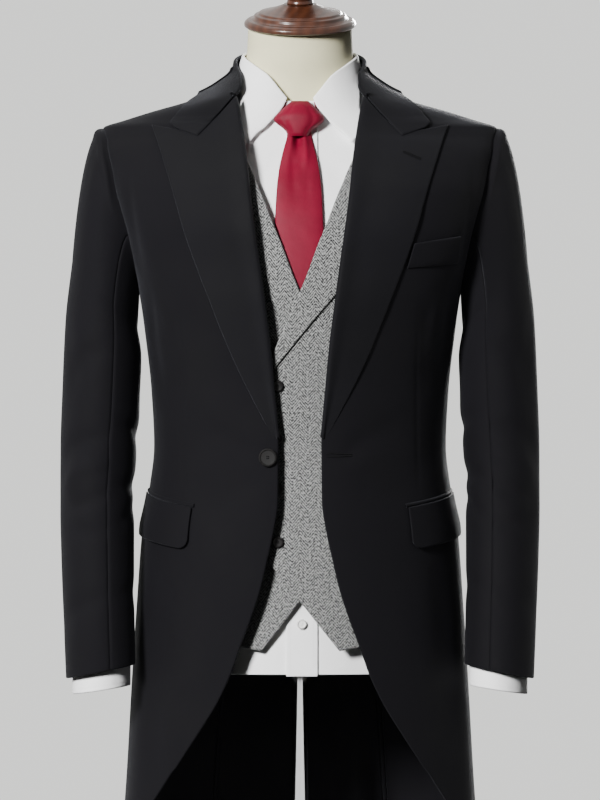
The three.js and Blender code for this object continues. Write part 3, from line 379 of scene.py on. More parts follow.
# Tie: half width of the blade at each level
BLADE = Table(
    "z half",
    (1110, 29), (1170, 28.5), (1210, 28), (1251, 27.8), (1284, 27.5), (1316, 26.5), (1346, 25), (1372, 22),
    (1394, 17), (1406, 13.8),
)
BLADE_X = -1.0


# Rounded bodies made of level sections


class Body:
    """A rounded body given by its level sections, on which cloth lies."""

    def __init__(self, table: Table) -> None:
        """Keeps a curve for each size of the sections."""
        self.side = table.curve("side")
        self.front = table.curve("front")
        self.back = table.curve("back")
        self.mid = table.curve("mid")
        self.square = table.curve("square")

    def point(self, angle: Array, z: Array) -> Array:
        """Returns the surface points at angles from the front and levels."""
        angle, z = np.broadcast_arrays(np.asarray(angle, float), np.asarray(z, float))
        turn = np.radians(angle)
        power = 2 / self.square(z)
        across, ahead = np.sin(turn), np.cos(turn)
        reach = np.where(ahead > 0, -self.front(z), self.back(z))
        x = self.side(z) * np.sign(across) * np.abs(across) ** power
        y = self.mid(z) + reach * np.abs(ahead) ** power
        return np.stack([x, y, z], axis=-1)

    def normal(self, angle: Array, z: Array) -> Array:
        """Returns the outward normals at angles and levels."""
        angle, z = np.asarray(angle, float), np.asarray(z, float)
        around = self.point(angle + 1, z) - self.point(angle - 1, z)
        up = self.point(angle, z + 1.5) - self.point(angle, z - 1.5)
        return unit(np.cross(around, up))

    def skin(self, angle: Array, z: Array, out: Array | float) -> Array:
        """Returns surface points moved straight out of the body."""
        return self.point(angle, z) + self.normal(angle, z) * np.asarray(out, float)[..., None]

    def angle_at(self, x: Array, z: Array) -> Array:
        """Returns the angle at which a section passes a distance from the centre line."""
        x, z = np.asarray(x, float), np.asarray(z, float)
        share = np.minimum(np.abs(x) / self.side(z), 1)
        return np.degrees(np.sign(x) * np.arcsin(share ** (self.square(z) / 2)))

    def arc(self, angle: Array, z: Array, steps: int = 40) -> Array:
        """Returns how far along its section each point lies from the front middle line."""
        angle, z = np.broadcast_arrays(np.asarray(angle, float), np.asarray(z, float))
        shares = np.linspace(0, 1, steps)
        path = self.point(angle[..., None] * shares, np.repeat(z[..., None], steps, axis=-1))
        return np.linalg.norm(np.diff(path, axis=-2), axis=-1).sum(axis=-1) * np.sign(angle)


@dataclass(frozen=True)
class Armhole:
    """The loop of an armhole: a middle level, its rise and its reach to the front and the back."""

    z: float
    rise: float
    front: float
    back: float

    def angle(self, body: Body, z: Array, to_front: Array | bool) -> Array:
        """Returns the angle of the edge at levels, at its front or its back side."""
        z = np.asarray(z, float)
        height = np.minimum(np.abs(z - self.z) / self.rise, 1)
        depth = np.where(to_front, self.front, self.back) * np.sqrt(1 - height * height)
        reach = np.where(to_front, body.front(z), body.back(z))
        share = np.minimum(depth / reach, 1)
        angle = np.degrees(np.arccos(share ** (body.square(z) / 2)))
        return np.where(to_front, angle, 180 - angle)

    def holds(self, z: Array) -> Array:
        """Returns which levels cross the armhole."""
        return np.abs(np.asarray(z, float) - self.z) < self.rise

    def edge(self, body: Body, z: Array, to_front: bool) -> Array:
        """Returns the angle of the side seam or, at the levels that cross the armhole, of its edge."""
        return np.where(self.holds(z), self.angle(body, z, to_front), 90.0)

    def levels(self, count: int) -> Array:
        """Returns rising levels across the armhole, close together at both ends."""
        return self.z + self.rise * np.cos(np.radians(np.linspace(180, 0, count)))

    def point(self, body: Body, around: Array, out: float) -> Array:
        """Returns edge points: 0 at the shoulder, 90 at the front, 180 under the arm."""
        around = np.asarray(around, float)
        z = self.z + self.rise * np.cos(np.radians(around))
        return body.skin(self.angle(body, z, np.sin(np.radians(around)) >= 0), z, out)


COAT_ARMHOLE = Armhole(1326, 96, 54, 60)
SHIRT_ARMHOLE = Armhole(1331, 79, 42, 45)
WAISTCOAT_ARMHOLE = Armhole(1315, 113, 66, 66)
figure = Body(FIGURE)
coat = Body(COAT)


# Creases, seams and the grid of a piece of cloth


@dataclass(frozen=True)
class Crease:
    """A soft trough or ridge in cloth, between two places given across and up the piece."""

    start: tuple[float, float]
    end: tuple[float, float]
    depth: float
    width: float
    bow: float = 0.0

    def lift(self, across: Array, up: Array) -> Array:
        """Returns how far the crease moves each place out of the cloth.

        Args:
            across: Distance across the piece.
            up: Height up the piece.

        Returns:
            Millimetres outward, negative in a trough.
        """
        start, end = np.array(self.start, float), np.array(self.end, float)
        way = end - start
        length = float(np.hypot(*way))
        way = way / length
        along = (across - start[0]) * way[0] + (up - start[1]) * way[1]
        aside = (up - start[1]) * way[0] - (across - start[0]) * way[1]
        share = along / length
        aside = aside - self.bow * np.sin(np.pi * np.clip(share, 0, 1))
        fade = ease(-0.18, 0.3, share) * (1 - ease(0.66, 1.2, share))
        width = self.width * (0.75 + 0.5 * np.clip(share, 0, 1))
        return self.depth * fade * np.exp(-((aside / width) ** 2))


@dataclass
class Sheet:
    """A grid of points of one piece of cloth, with where each point lies on the piece."""

    points: Array
    across: Array
    up: Array
    closed: bool = False

    @property
    def normals(self) -> Array:
        """Returns the outward normals of the grid."""
        if self.closed:
            ring = np.concatenate([self.points[:, -1:], self.points, self.points[:, :1]], axis=1)
            around = (ring[:, 2:] - ring[:, :-2]) / 2
        else:
            around = np.gradient(self.points, axis=1)
        return unit(np.cross(around, np.gradient(self.points, axis=0)))

    def moved(self, lift: Array) -> "Sheet":
        """Returns the sheet with each point moved out by its own amount."""
        return Sheet(self.points + self.normals * lift[..., None], self.across, self.up, self.closed)

    def creased(self, creases: Iterable[Crease]) -> "Sheet":
        """Returns the sheet with creases pressed into it."""
        lift = sum((crease.lift(self.across, self.up) for crease in creases), np.zeros(self.across.shape))
        return self.moved(lift)

    def edge_distance(self, edge: Edge) -> Array:
        """Returns how far each point lies from one edge, along its row or column."""
        by_row = edge in ROW_EDGES
        axis = 0 if by_row else 1
        steps = np.linalg.norm(np.diff(self.points, axis=axis), axis=-1)
        pad = [(1, 0), (0, 0)] if by_row else [(0, 0), (1, 0)]
        gone = np.pad(np.cumsum(steps, axis=axis), pad)
        if edge in (Edge.FIRST_ROW, Edge.FIRST_COLUMN):
            return gone
        whole = gone[-1:, :] if by_row else gone[:, -1:]
        return whole - gone

    def seamed(self, edges: Iterable[Edge], depth: float = 1.1, width: float = 2.2) -> "Sheet":
        """Returns the sheet with the given edges turned down into their seams."""
        lift = np.zeros(self.across.shape)
        for edge in edges:
            near = self.edge_distance(edge)
            lift = lift - depth * np.exp(-((near / width) ** 2))
        return self.moved(lift)

    def mirrored(self) -> "Sheet":
        """Returns the mirror image for the other side of the wearer."""
        flipped = self.points[:, ::-1] * np.array([-1.0, 1.0, 1.0])
        return Sheet(flipped, -self.across[:, ::-1], self.up[:, ::-1], self.closed)

    def on(self, side: Side) -> "Sheet":
        """Returns the sheet, made for the left side, on the given side."""
        return self if side is Side.LEFT else self.mirrored()

    @property
    def ring(self) -> Array:
        """Returns the points, with the first column again behind the last where the sheet closes."""
        return np.concatenate([self.points, self.points[:, :1]], axis=1) if self.closed else self.points

    def area(self) -> float:
        """Returns the area in square millimetres."""
        ring = self.ring
        first = ring[1:, 1:] - ring[:-1, :-1]
        second = ring[1:, :-1] - ring[:-1, 1:]
        return float(np.linalg.norm(np.cross(first, second), axis=-1).sum() / 2)

    def flat_size(self) -> tuple[float, float]:
        """Returns the longest row and the longest column in millimetres."""
        widths = np.linalg.norm(np.diff(self.ring, axis=1), axis=-1).sum(axis=1)
        lengths = np.linalg.norm(np.diff(self.points, axis=0), axis=-1).sum(axis=0)
        return float(widths.max()), float(lengths.max())


def spaced(count: int, length: float, edge: float = 1.6, also: Iterable[float] = ()) -> Array:
    """Returns shares from 0 to 1, with close ones at both ends for a crisp edge."""
    close = edge / length
    even = np.linspace(0, 1, count)
    inner = even[(even > 2 * close) & (even < 1 - 2 * close)]
    shares = [0, close, 2 * close, *inner, 1 - 2 * close, 1 - close, 1, *also]
    return np.unique(np.round(shares, 6))


def share_grids(along: Array, up: Array) -> tuple[Array, Array]:
    """Returns two grids: each place's share along its row, and its height."""
    return along[None, :] * np.ones((len(up), 1)), up[:, None] * np.ones(len(along))


@dataclass
class Places:
    """A grid of angles and levels on a body, with each place's shares along its row and its rows."""

    angle: Array
    z: Array
    share: Array
    height: Array

    def lay(self, body: Body, out: Array | float) -> Sheet:
        """Lays cloth on a body at these places."""
        return Sheet(body.skin(self.angle, self.z, out), body.arc(self.angle, self.z), self.z)


def place_rows(
    start: tuple[Array, Array],
    end: tuple[Array, Array],
    shares: Array,
    body: Body | None = None,
    bend: Callable[[Array, Array], Array] | None = None,
) -> Places:
    """Spans rows of places between two edges.

    Args:
        start: Angles and levels of the first edge, a value for each row.
        end: The same for the last edge.
        shares: Where along a row the places are.
        body: Where given, places are spaced evenly as seen from the front.
        bend: Moves levels by their share along the row and the row's height.

    Returns:
        The grid of places.
    """
    (angle_0, z_0), (angle_1, z_1) = start, end
    share, height = share_grids(shares, np.linspace(0, 1, len(angle_0)))
    angle = mix(angle_0[:, None], angle_1[:, None], share)
    z = mix(z_0[:, None], z_1[:, None], share)
    if bend is not None:
        z = z + bend(share, height)
    if body is not None:
        x_0 = body.point(angle_0, z_0)[:, 0][:, None]
        x_1 = body.point(angle_1, z_1)[:, 0][:, None]
        facing = np.maximum(np.abs(angle_0), np.abs(angle_1))[:, None] <= 80
        angle = np.where(facing, body.angle_at(mix(x_0, x_1, share), z), angle)
    return Places(angle, z, share, height)


def even_rows(body: Body, places: Places, shares: Array) -> Places:
    """Moves the places along their rows until they are as far apart as their shares."""
    path = body.point(places.angle, places.z)
    steps = np.linalg.norm(np.diff(path, axis=1), axis=-1)
    gone = np.pad(np.cumsum(steps, axis=1), [(0, 0), (1, 0)])
    gone = gone / gone[:, -1:]
    angle = np.stack([np.interp(shares, g, a) for g, a in zip(gone, places.angle)])
    z = np.stack([np.interp(shares, g, level) for g, level in zip(gone, places.z)])
    return Places(angle, z, *share_grids(shares, places.height[:, 0]))


def spanned(body: Body, start: Array, end: Array, z: Array, fine: int, shares: Array) -> Places:
    """Returns level rows between two edges, evenly spaced over a body."""
    return even_rows(body, place_rows((start, z), (end, z), np.linspace(0, 1, fine)), shares)


# Meshes


def make_object(
    name: str, points: Array, faces: Sequence[Sequence[int]], material: Material
) -> bpy.types.Object:
    """Makes a smooth-shaded object from points in millimetres."""
    mesh = bpy.data.meshes.new(name)
    mesh.from_pydata((np.asarray(points) * MM).tolist(), [], faces)
    mesh.validate()
    mesh.shade_smooth()
    mesh.materials.append(material)
    piece = bpy.data.objects.new(name, mesh)
    bpy.context.scene.collection.objects.link(piece)
    return piece


def set_weave(piece: bpy.types.Object, weave: Array, period: Array | None = None) -> None:
    """Gives a mesh the places of the weave, in metres, as its UV map.

    Args:
        piece: The object.
        weave: Where each point lies on the cloth, in millimetres.
        period: For cloth that closes on itself, all in quads, the length once round at each point.
    """
    mesh = piece.data
    loops = np.empty(len(mesh.loops), np.int32)
    mesh.loops.foreach_get("vertex_index", loops)
    place = weave[loops]
    if period is not None:
        across, once = place[:, 0].reshape(-1, 4), period[loops].reshape(-1, 4)
        behind = across.max(axis=1, keepdims=True) - across > once / 2
        place[:, 0] = (across + once * behind).ravel()
    layer = mesh.uv_layers.new(name="weave")
    layer.uv.foreach_set("vector", (place * MM).astype(np.float32).ravel())


def cloth_piece(name: str, sheet: Sheet, thickness: float, material: Material) -> bpy.types.Object:
    """Makes a thin shell with rounded edges from a sheet.

    Args:
        name: The object's name.
        sheet: The outer face.
        thickness: The cloth's thickness in millimetres.
        material: The finish.

    Returns:
        The object.
    """
    rows, columns = sheet.across.shape
    grid = sheet.points
    outer = grid.reshape(-1, 3)
    inner = outer - sheet.normals.reshape(-1, 3) * thickness
    number = np.arange(rows * columns).reshape(rows, columns)
    if sheet.closed:
        number = np.concatenate([number, number[:, :1]], axis=1)
        rims = [(number[0], unit(grid[0] - grid[1]), False), (number[-1], unit(grid[-1] - grid[-2]), True)]
    else:
        border = [number[0, :-1], number[:-1, -1], number[-1, :0:-1], number[:0:-1, 0], number[0, :1]]
        rims = [(np.concatenate(border), rim_directions(grid), False)]
    under = number + rows * columns
    faces = [
        np.stack([number[:-1, :-1], number[:-1, 1:], number[1:, 1:], number[1:, :-1]], axis=-1),
        np.stack([under[:-1, :-1], under[1:, :-1], under[1:, 1:], under[:-1, 1:]], axis=-1),
    ]
    quads = [face.reshape(-1, 4) for face in faces]
    points = [outer, inner]
    source = [np.arange(rows * columns)] * 2
    count = 2 * rows * columns
    for ring, away, turned in rims:
        around = ring[:-1]
        points.append((outer[around] + inner[around]) / 2 + away * thickness * RIM_SWELL)
        source.append(around)
        middle = np.append(np.arange(len(around)), 0) + count
        quads += rim_quads(ring, ring + rows * columns, middle, turned)
        count += len(around)
    piece = make_object(name, np.concatenate(points), np.concatenate(quads).tolist(), material)
    order = np.concatenate(source)
    weave = np.stack([sheet.across, sheet.up], axis=-1).reshape(-1, 2)[order]
    if sheet.closed:
        steps = np.linalg.norm(grid - np.roll(grid, 1, axis=1), axis=-1)
        once = steps.sum(axis=1, keepdims=True) * np.ones(columns)
        set_weave(piece, weave, once.ravel()[order])
    else:
        set_weave(piece, weave)
    return piece


def rim_directions(outer: Array) -> Array:
    """Returns, round a grid's border, the directions that point away from the cloth."""
    top, bottom = unit(outer[0] - outer[1]), unit(outer[-1] - outer[-2])
    left, right = unit(outer[:, 0] - outer[:, 1]), unit(outer[:, -1] - outer[:, -2])
    top[0] = unit(top[0] + left[0])
    right[0] = unit(top[-1] + right[0])
    bottom[-1] = unit(bottom[-1] + right[-1])
    left[-1] = unit(bottom[0] + left[-1])
    return np.concatenate([top[:-1], right[:-1], bottom[:0:-1], left[:0:-1]])


def tube_faces(rings: int, columns: int) -> list[list[int]]:
    """Returns the faces of a tube of rings, with a fan to one more point at its first and its last ring."""
    number = np.arange(rings * columns).reshape(rings, columns)
    turned = np.roll(number, -1, axis=1)
    quads = np.stack([number[:-1], turned[:-1], turned[1:], number[1:]], axis=-1).reshape(-1, 4)
    low = np.stack([np.full(columns, number.size), turned[0], number[0]], axis=-1)
    high = np.stack([np.full(columns, number.size + 1), number[-1], turned[-1]], axis=-1)
    return quads.tolist() + low.tolist() + high.tolist()


def rim_quads(ring: Array, ring_under: Array, middle: Array, turned: bool) -> list[Array]:
    """Returns the faces of a rim that joins the outer and the inner face round a middle line."""
    faces = []
    for near, far in ((ring, middle), (middle, ring_under)):
        quad = np.stack([near[1:], near[:-1], far[:-1], far[1:]], axis=-1)
        faces.append(quad[:, ::-1] if turned else quad)
    return faces


# Creases of the cloth


def creases(*rows: Sequence[float]) -> list[Crease]:
    """Returns creases from rows: start and end, each across and up, then depth, width and bow."""
    return [Crease((x_0, z_0), (x_1, z_1), *size) for x_0, z_0, x_1, z_1, *size in rows]


# On the body: distances round from the front middle line, and levels
FRONT_CREASES = {
    Side.LEFT: creases(
        (46, 1046, 128, 1086, -1.5, 11, 5), (52, 1034, 150, 1048, 1.1, 12, 4),
        (60, 1020, 138, 1002, -1.0, 14, -5), (150, 1216, 158, 1120, -1.6, 13, 6),
        (196, 1236, 188, 1130, -2.2, 15, 7), (172, 1222, 164, 1150, 1.3, 9, -4),
        (118, 1330, 170, 1262, -1.3, 20, 7), (206, 1372, 212, 1262, -2.0, 10, 2),
        (172, 930, 190, 620, -2.2, 24, 6), (216, 960, 232, 560, 2.4, 26, -6),
        (118, 880, 150, 640, 1.3, 26, 5), (142, 1214, 146, 1004, -0.9, 2.4),
    ),
    Side.RIGHT: creases(
        (44, 1040, 120, 1076, -1.3, 12, 6), (50, 1030, 140, 1030, 1.0, 13, 5),
        (58, 1012, 130, 986, -1.1, 15, -6), (152, 1204, 150, 1102, -1.4, 14, 8),
        (194, 1230, 182, 1116, -2.3, 14, 9), (170, 1210, 158, 1136, 1.2, 9, -5),
        (112, 1318, 160, 1250, -1.2, 22, 8), (204, 1366, 208, 1254, -2.1, 11, 3),
        (166, 916, 188, 640, -2.4, 22, 8), (214, 948, 226, 580, 2.6, 24, -8),
        (112, 868, 146, 660, 1.4, 24, 6), (142, 1214, 146, 1004, -0.9, 2.4),
    ),
}
SIDE_CREASES = {
    Side.LEFT: creases(
        (262, 1226, 284, 1110, -2.4, 13, 6), (300, 1236, 300, 1120, 1.4, 12, -5),
        (250, 1070, 330, 1086, -1.6, 10, 5), (256, 1096, 336, 1120, -1.2, 9, -4),
    ),
    Side.RIGHT: creases(
        (258, 1220, 280, 1096, -2.2, 14, 7), (298, 1230, 304, 1104, 1.5, 12, -6),
        (254, 1064, 330, 1074, -1.5, 11, 6), (250, 1090, 330, 1112, -1.3, 9, -5),
    ),
}
SKIRT_CREASES = {
    Side.LEFT: creases(
        (286, 1010, 306, 520, 3.4, 24, 5), (322, 1016, 352, 500, -3.6, 22, -6),
        (358, 1000, 398, 500, 2.8, 24, 7),
    ),
    Side.RIGHT: creases(
        (284, 1004, 310, 500, 3.2, 25, 7), (320, 1018, 356, 520, -3.8, 23, -5),
        (360, 1008, 392, 510, 2.9, 22, 6),
    ),
}
BACK_CREASES = {
    Side.LEFT: creases(
        (330, 1340, 318, 1190, -2.4, 14, 9), (356, 1300, 350, 1170, -1.4, 16, 8),
        (390, 1120, 470, 1078, -1.4, 11, 4), (388, 1080, 470, 1058, -1.6, 10, -4),
        (410, 1392, 478, 1380, 1.2, 14, 5), (424, 1000, 452, 520, 2.6, 22, -5),
        (456, 990, 486, 500, -2.6, 20, 6),
    ),
    Side.RIGHT: creases(
        (328, 1334, 320, 1176, -2.2, 15, 8), (354, 1296, 346, 1160, -1.5, 15, 9),
        (392, 1110, 470, 1066, -1.5, 11, 5), (390, 1076, 468, 1050, -1.4, 10, -5),
        (408, 1388, 476, 1376, 1.1, 14, 6), (422, 996, 450, 500, 2.8, 21, -6),
        (458, 1000, 484, 510, -2.5, 21, 5),
    ),
}
LAPEL_CREASES = {
    Side.LEFT: creases((50, 1180, 96, 1196, -0.5, 16, 3), (60, 1290, 120, 1300, 0.5, 20, 4)),
    Side.RIGHT: creases((46, 1160, 88, 1178, -0.5, 15, 4), (62, 1300, 124, 1318, 0.5, 18, 3)),
}

# On the sleeves: distances from the middle of the panel, and levels
SLEEVE_CREASES = {
    Side.LEFT: {
        "top_sleeve": creases(
            (-84, 1178, -30, 1132, -2.6, 12, 6), (88, 1196, 42, 1140, -2.8, 13, -7),
            (92, 1094, 20, 1052, -3.0, 12, -8), (90, 1058, 30, 1030, 1.6, 9, -5),
            (92, 1024, 14, 1008, -2.8, 12, 6), (88, 972, 26, 990, -2.0, 10, 5),
            (-88, 1040, -36, 1010, -1.8, 13, 7), (84, 900, 10, 868, -1.6, 13, -6),
            (-80, 900, -26, 930, -1.4, 14, 6), (30, 1210, 36, 1080, -1.4, 16, 5),
        ),
        "under_sleeve": creases(
            (-50, 1090, 44, 1052, -2.8, 11, 6), (-50, 1022, 48, 1030, -3.2, 12, -5),
            (-48, 976, 40, 1000, -2.2, 10, 5), (0, 1200, 4, 1110, -1.8, 14, 5),
            (-46, 896, 30, 880, -1.4, 12, 4),
        ),
    },
    Side.RIGHT: {
        "top_sleeve": creases(
            (-82, 1168, -26, 1120, -2.4, 13, 7), (86, 1186, 38, 1128, -2.6, 14, -8),
            (92, 1080, 16, 1040, -2.8, 13, -7), (90, 1046, 26, 1018, 1.5, 9, -6),
            (92, 1012, 10, 996, -2.6, 12, 7), (88, 962, 24, 978, -1.8, 11, 4),
            (-86, 1030, -32, 1002, -1.7, 14, 8), (84, 890, 8, 856, -1.7, 13, -5),
            (-78, 890, -24, 922, -1.3, 13, 7), (28, 1204, 36, 1066, -1.3, 17, 4),
        ),
        "under_sleeve": creases(
            (-50, 1080, 44, 1040, -2.6, 12, 6), (-50, 1010, 48, 1018, -3.0, 12, -6),
            (-48, 966, 40, 988, -2.0, 11, 5), (2, 1196, 4, 1100, -1.7, 14, 6),
            (-46, 886, 30, 872, -1.5, 12, 5),
        ),
    },
}
SHIRT_CREASES = creases(
    (22, 1390, 60, 1330, -1.0, 9, 4), (18, 1420, 70, 1400, 0.8, 9, 3), (34, 842, 80, 806, -1.2, 9, 4),
    (60, 850, 96, 800, 1.0, 10, 3),
)
WAISTCOAT_CREASES = creases(
    (-10, 1010, 60, 1030, -0.9, 12, 4), (-8, 968, 50, 950, -0.9, 12, -4), (30, 1120, 80, 1090, -0.8, 14, 5),
)
TIE_CREASES = creases(
    (-13, 1396, -8, 1340, -0.7, 4, 2), (13, 1390, 9, 1330, -0.6, 4, -2),
)


# Finishes


class Nodes:
    """Builds the nodes of one finish."""

    def __init__(self, name: str) -> None:
        """Starts an empty finish with its shader and output."""
        self.material = bpy.data.materials.new(name)
        self.material.use_nodes = True
        self.tree = self.material.node_tree
        self.tree.nodes.clear()
        self.shader = self.tree.nodes.new("ShaderNodeBsdfPrincipled")
        output = self.tree.nodes.new("ShaderNodeOutputMaterial")
        self.tree.links.new(self.shader.outputs[0], output.inputs["Surface"])

    def add(self, kind: str, inputs: dict | None = None, **settings: object) -> bpy.types.Node:
        """Adds a node."""
        node = self.tree.nodes.new("ShaderNode" + kind)
        for key, value in settings.items():
            setattr(node, key, value)
        for key, value in (inputs or {}).items():
            self.feed(node.inputs[key], value)
        return node

    def feed(self, socket: Socket, value: object) -> None:
        """Links a socket to an input, or sets its value."""
        if isinstance(value, Socket):
            self.tree.links.new(value, socket)
        else:
            socket.default_value = value

    def sum(self, kind: str, *values: object) -> Socket:
        """Returns the result of a Math node."""
        return self.add("Math", dict(enumerate(values)), operation=kind).outputs[0]

    def plus(self, first: object, second: object) -> Socket:
        """Returns the sum of two values."""
        return self.sum("ADD", first, second)

    def times(self, first: object, second: object) -> Socket:
        """Returns the product of two values."""
        return self.sum("MULTIPLY", first, second)

    def wave(self, run: Socket, pitch: float) -> Socket:
        """Returns a sine wave along a run of places."""
        return self.sum("SINE", self.times(run, 2 * math.pi / pitch))

    def axes(self, place: Socket) -> tuple[Socket, ...]:
        """Returns the three parts of a place."""
        return tuple(self.add("SeparateXYZ", {0: place}).outputs)

    def tint(self, tone: object, dark: Sequence[float], light: Sequence[float]) -> None:
        """Colours the shader between a dark and a light colour."""
        self.feed(self.shader.inputs["Base Color"], self.blend(tone, colour(*dark), colour(*light)))

    def scaled(self, place: Socket, scale: Sequence[float], turn: float = 0.0) -> Socket:
        """Returns a place scaled and turned."""
        inputs = {"Vector": place, "Scale": tuple(scale), "Rotation": (0, 0, turn)}
        return self.add("Mapping", inputs).outputs[0]

    def noise(self, place: Socket, scale: float, detail: float = 2.0, rough: float = 0.5) -> Socket:
        """Returns a noise value."""
        inputs = {"Vector": place, "Scale": scale, "Detail": detail, "Roughness": rough}
        return self.add("TexNoise", inputs).outputs[0]

    def ramp(self, value: Socket, low: float, high: float, to_low: float, to_high: float) -> Socket:
        """Returns a value moved from one range to another."""
        inputs = {"Value": value, "From Min": low, "From Max": high, "To Min": to_low, "To Max": to_high}
        return self.add("MapRange", inputs).outputs[0]

    def blend(self, share: object, first: object, second: object) -> Socket:
        """Returns a colour between two colours."""
        node = self.add("Mix", data_type="RGBA")
        self.feed(node.inputs[0], share)
        self.feed(node.inputs[6], first)
        self.feed(node.inputs[7], second)
        return node.outputs[2]

    def bump(self, *heights: tuple[Socket, float]) -> None:
        """Adds relief to the shader: each height with its depth in metres."""
        normal: Socket | None = None
        for height, depth in heights:
            inputs = {"Height": height, "Distance": depth, "Strength": 1.0}
            if normal is not None:
                inputs["Normal"] = normal
            normal = self.add("Bump", inputs).outputs[0]
        self.feed(self.shader.inputs["Normal"], normal)

    def weave_place(self) -> Socket:
        """Returns the place on the cloth, in metres."""
        return self.add("UVMap", uv_map="weave").outputs[0]

    def object_place(self) -> Socket:
        """Returns the place on the object, in metres."""
        return self.add("TexCoord").outputs["Object"]

    def set(self, **values: object) -> None:
        """Sets the shader's inputs; underscores stand for spaces in their names."""
        for key, value in values.items():
            self.feed(self.shader.inputs[key.replace("_", " ")], value)


def colour(red: float, green: float, blue: float) -> tuple[float, float, float, float]:
    """Returns a colour with full cover."""
    return (red, green, blue, 1.0)


@dataclass(frozen=True)
class Worsted:
    """Fine twilled worsted wool: steep ridges, a soft nap and faint cloudy shading."""

    name: str
    dark: tuple[float, float, float]
    light: tuple[float, float, float]
    pitch: float = 0.0011
    ridge: float = 0.00006
    roughness: float = 0.78
    sheen: float = 0.06
    steepness: float = 0.9

    def make(self) -> Material:
        """Returns the finish."""
        nodes = Nodes(self.name)
        place = nodes.weave_place()
        spot = nodes.object_place()
        across, up = nodes.axes(place)[:2]
        phase = nodes.times(nodes.plus(nodes.times(across, self.steepness), up), 2 * math.pi / self.pitch)
        wobble = nodes.times(nodes.noise(spot, 260, 2), 2.2)
        twill = nodes.sum("SINE", nodes.plus(phase, wobble))
        fibre = nodes.noise(nodes.scaled(place, (1, 0.35, 1)), 2600, 2, 0.6)
        cloud = nodes.noise(spot, 9, 3, 0.55)
        tone = nodes.plus(nodes.ramp(fibre, 0.35, 0.65, 0, 0.55), nodes.ramp(cloud, 0.35, 0.65, 0, 0.45))
        nodes.tint(tone, self.dark, self.light)
        nodes.set(Roughness=nodes.ramp(cloud, 0.3, 0.7, self.roughness - 0.05, self.roughness + 0.06))
        nodes.set(Sheen_Weight=self.sheen, Sheen_Roughness=0.38, Sheen_Tint=colour(0.62, 0.64, 0.72))
        nodes.set(Specular_IOR_Level=0.1)
        slub = nodes.noise(spot, 45, 3, 0.6)
        nodes.bump((slub, 0.0006), (twill, self.ridge), (fibre, 0.00005))
        return nodes.material


@dataclass(frozen=True)
class SaltAndPepper:
    """Grey wool of light and dark yarns woven in narrow herringbone stripes."""

    name: str
    light: tuple[float, float, float] = (0.300, 0.303, 0.296)
    dark: tuple[float, float, float] = (0.010, 0.010, 0.011)
    stripe: float = 0.0085
    pitch: float = 0.0036

    def make(self) -> Material:
        """Returns the finish."""
        nodes = Nodes(self.name)
        place = nodes.weave_place()
        spot = nodes.object_place()
        across, up = nodes.axes(place)[:2]
        zigzag = nodes.plus(nodes.times(nodes.sum("PINGPONG", across, self.stripe), 1.25), up)
        jitter = nodes.times(nodes.sum("SUBTRACT", nodes.noise(place, 900, 2), 0.5), 0.0016)
        line = nodes.wave(nodes.plus(zigzag, jitter), self.pitch)
        specks = nodes.noise(nodes.scaled(place, (1.0, 0.85, 1)), 430, 2, 0.7)
        fleck = nodes.ramp(specks, 0.3, 0.7, -1, 1)
        yarn = nodes.ramp(nodes.noise(place, 1700, 2, 0.6), 0.3, 0.7, -1, 1)
        mixed = nodes.plus(nodes.times(line, 0.34), nodes.times(fleck, 0.6))
        mixed = nodes.plus(mixed, nodes.times(yarn, 0.2))
        nodes.tint(nodes.ramp(mixed, -0.4, 0.4, 0, 1), self.dark, self.light)
        nodes.set(Roughness=0.86, Sheen_Weight=0.08, Sheen_Roughness=0.5, Specular_IOR_Level=0.25)
        soft = nodes.noise(spot, 60, 3, 0.6)
        nodes.bump((soft, 0.0004), (mixed, 0.00022))
        return nodes.material


@dataclass(frozen=True)
class Poplin:
    """Smooth white cotton with a very fine plain weave."""

    name: str
    tint: tuple[float, float, float] = (0.97, 0.97, 0.97)
    yarn: float = 0.0006

    def make(self) -> Material:
        """Returns the finish."""
        nodes = Nodes(self.name)
        spot = nodes.object_place()
        across, up = nodes.axes(nodes.weave_place())[:2]
        weave = nodes.times(nodes.wave(across, self.yarn), nodes.wave(up, self.yarn))
        cloud = nodes.noise(spot, 26, 3, 0.6)
        shade = tuple(value * 0.97 for value in self.tint)
        nodes.tint(nodes.ramp(cloud, 0.35, 0.65, 0, 1), shade, self.tint)
        nodes.set(Roughness=0.62, Sheen_Weight=0.15, Sheen_Roughness=0.4, Specular_IOR_Level=0.35)
        nodes.set(Subsurface_Weight=0.08, Subsurface_Radius=(0.004, 0.004, 0.004), Subsurface_Scale=0.4)
        nodes.bump((nodes.noise(spot, 34, 4, 0.55), 0.0008), (weave, 0.00002))
        return nodes.material


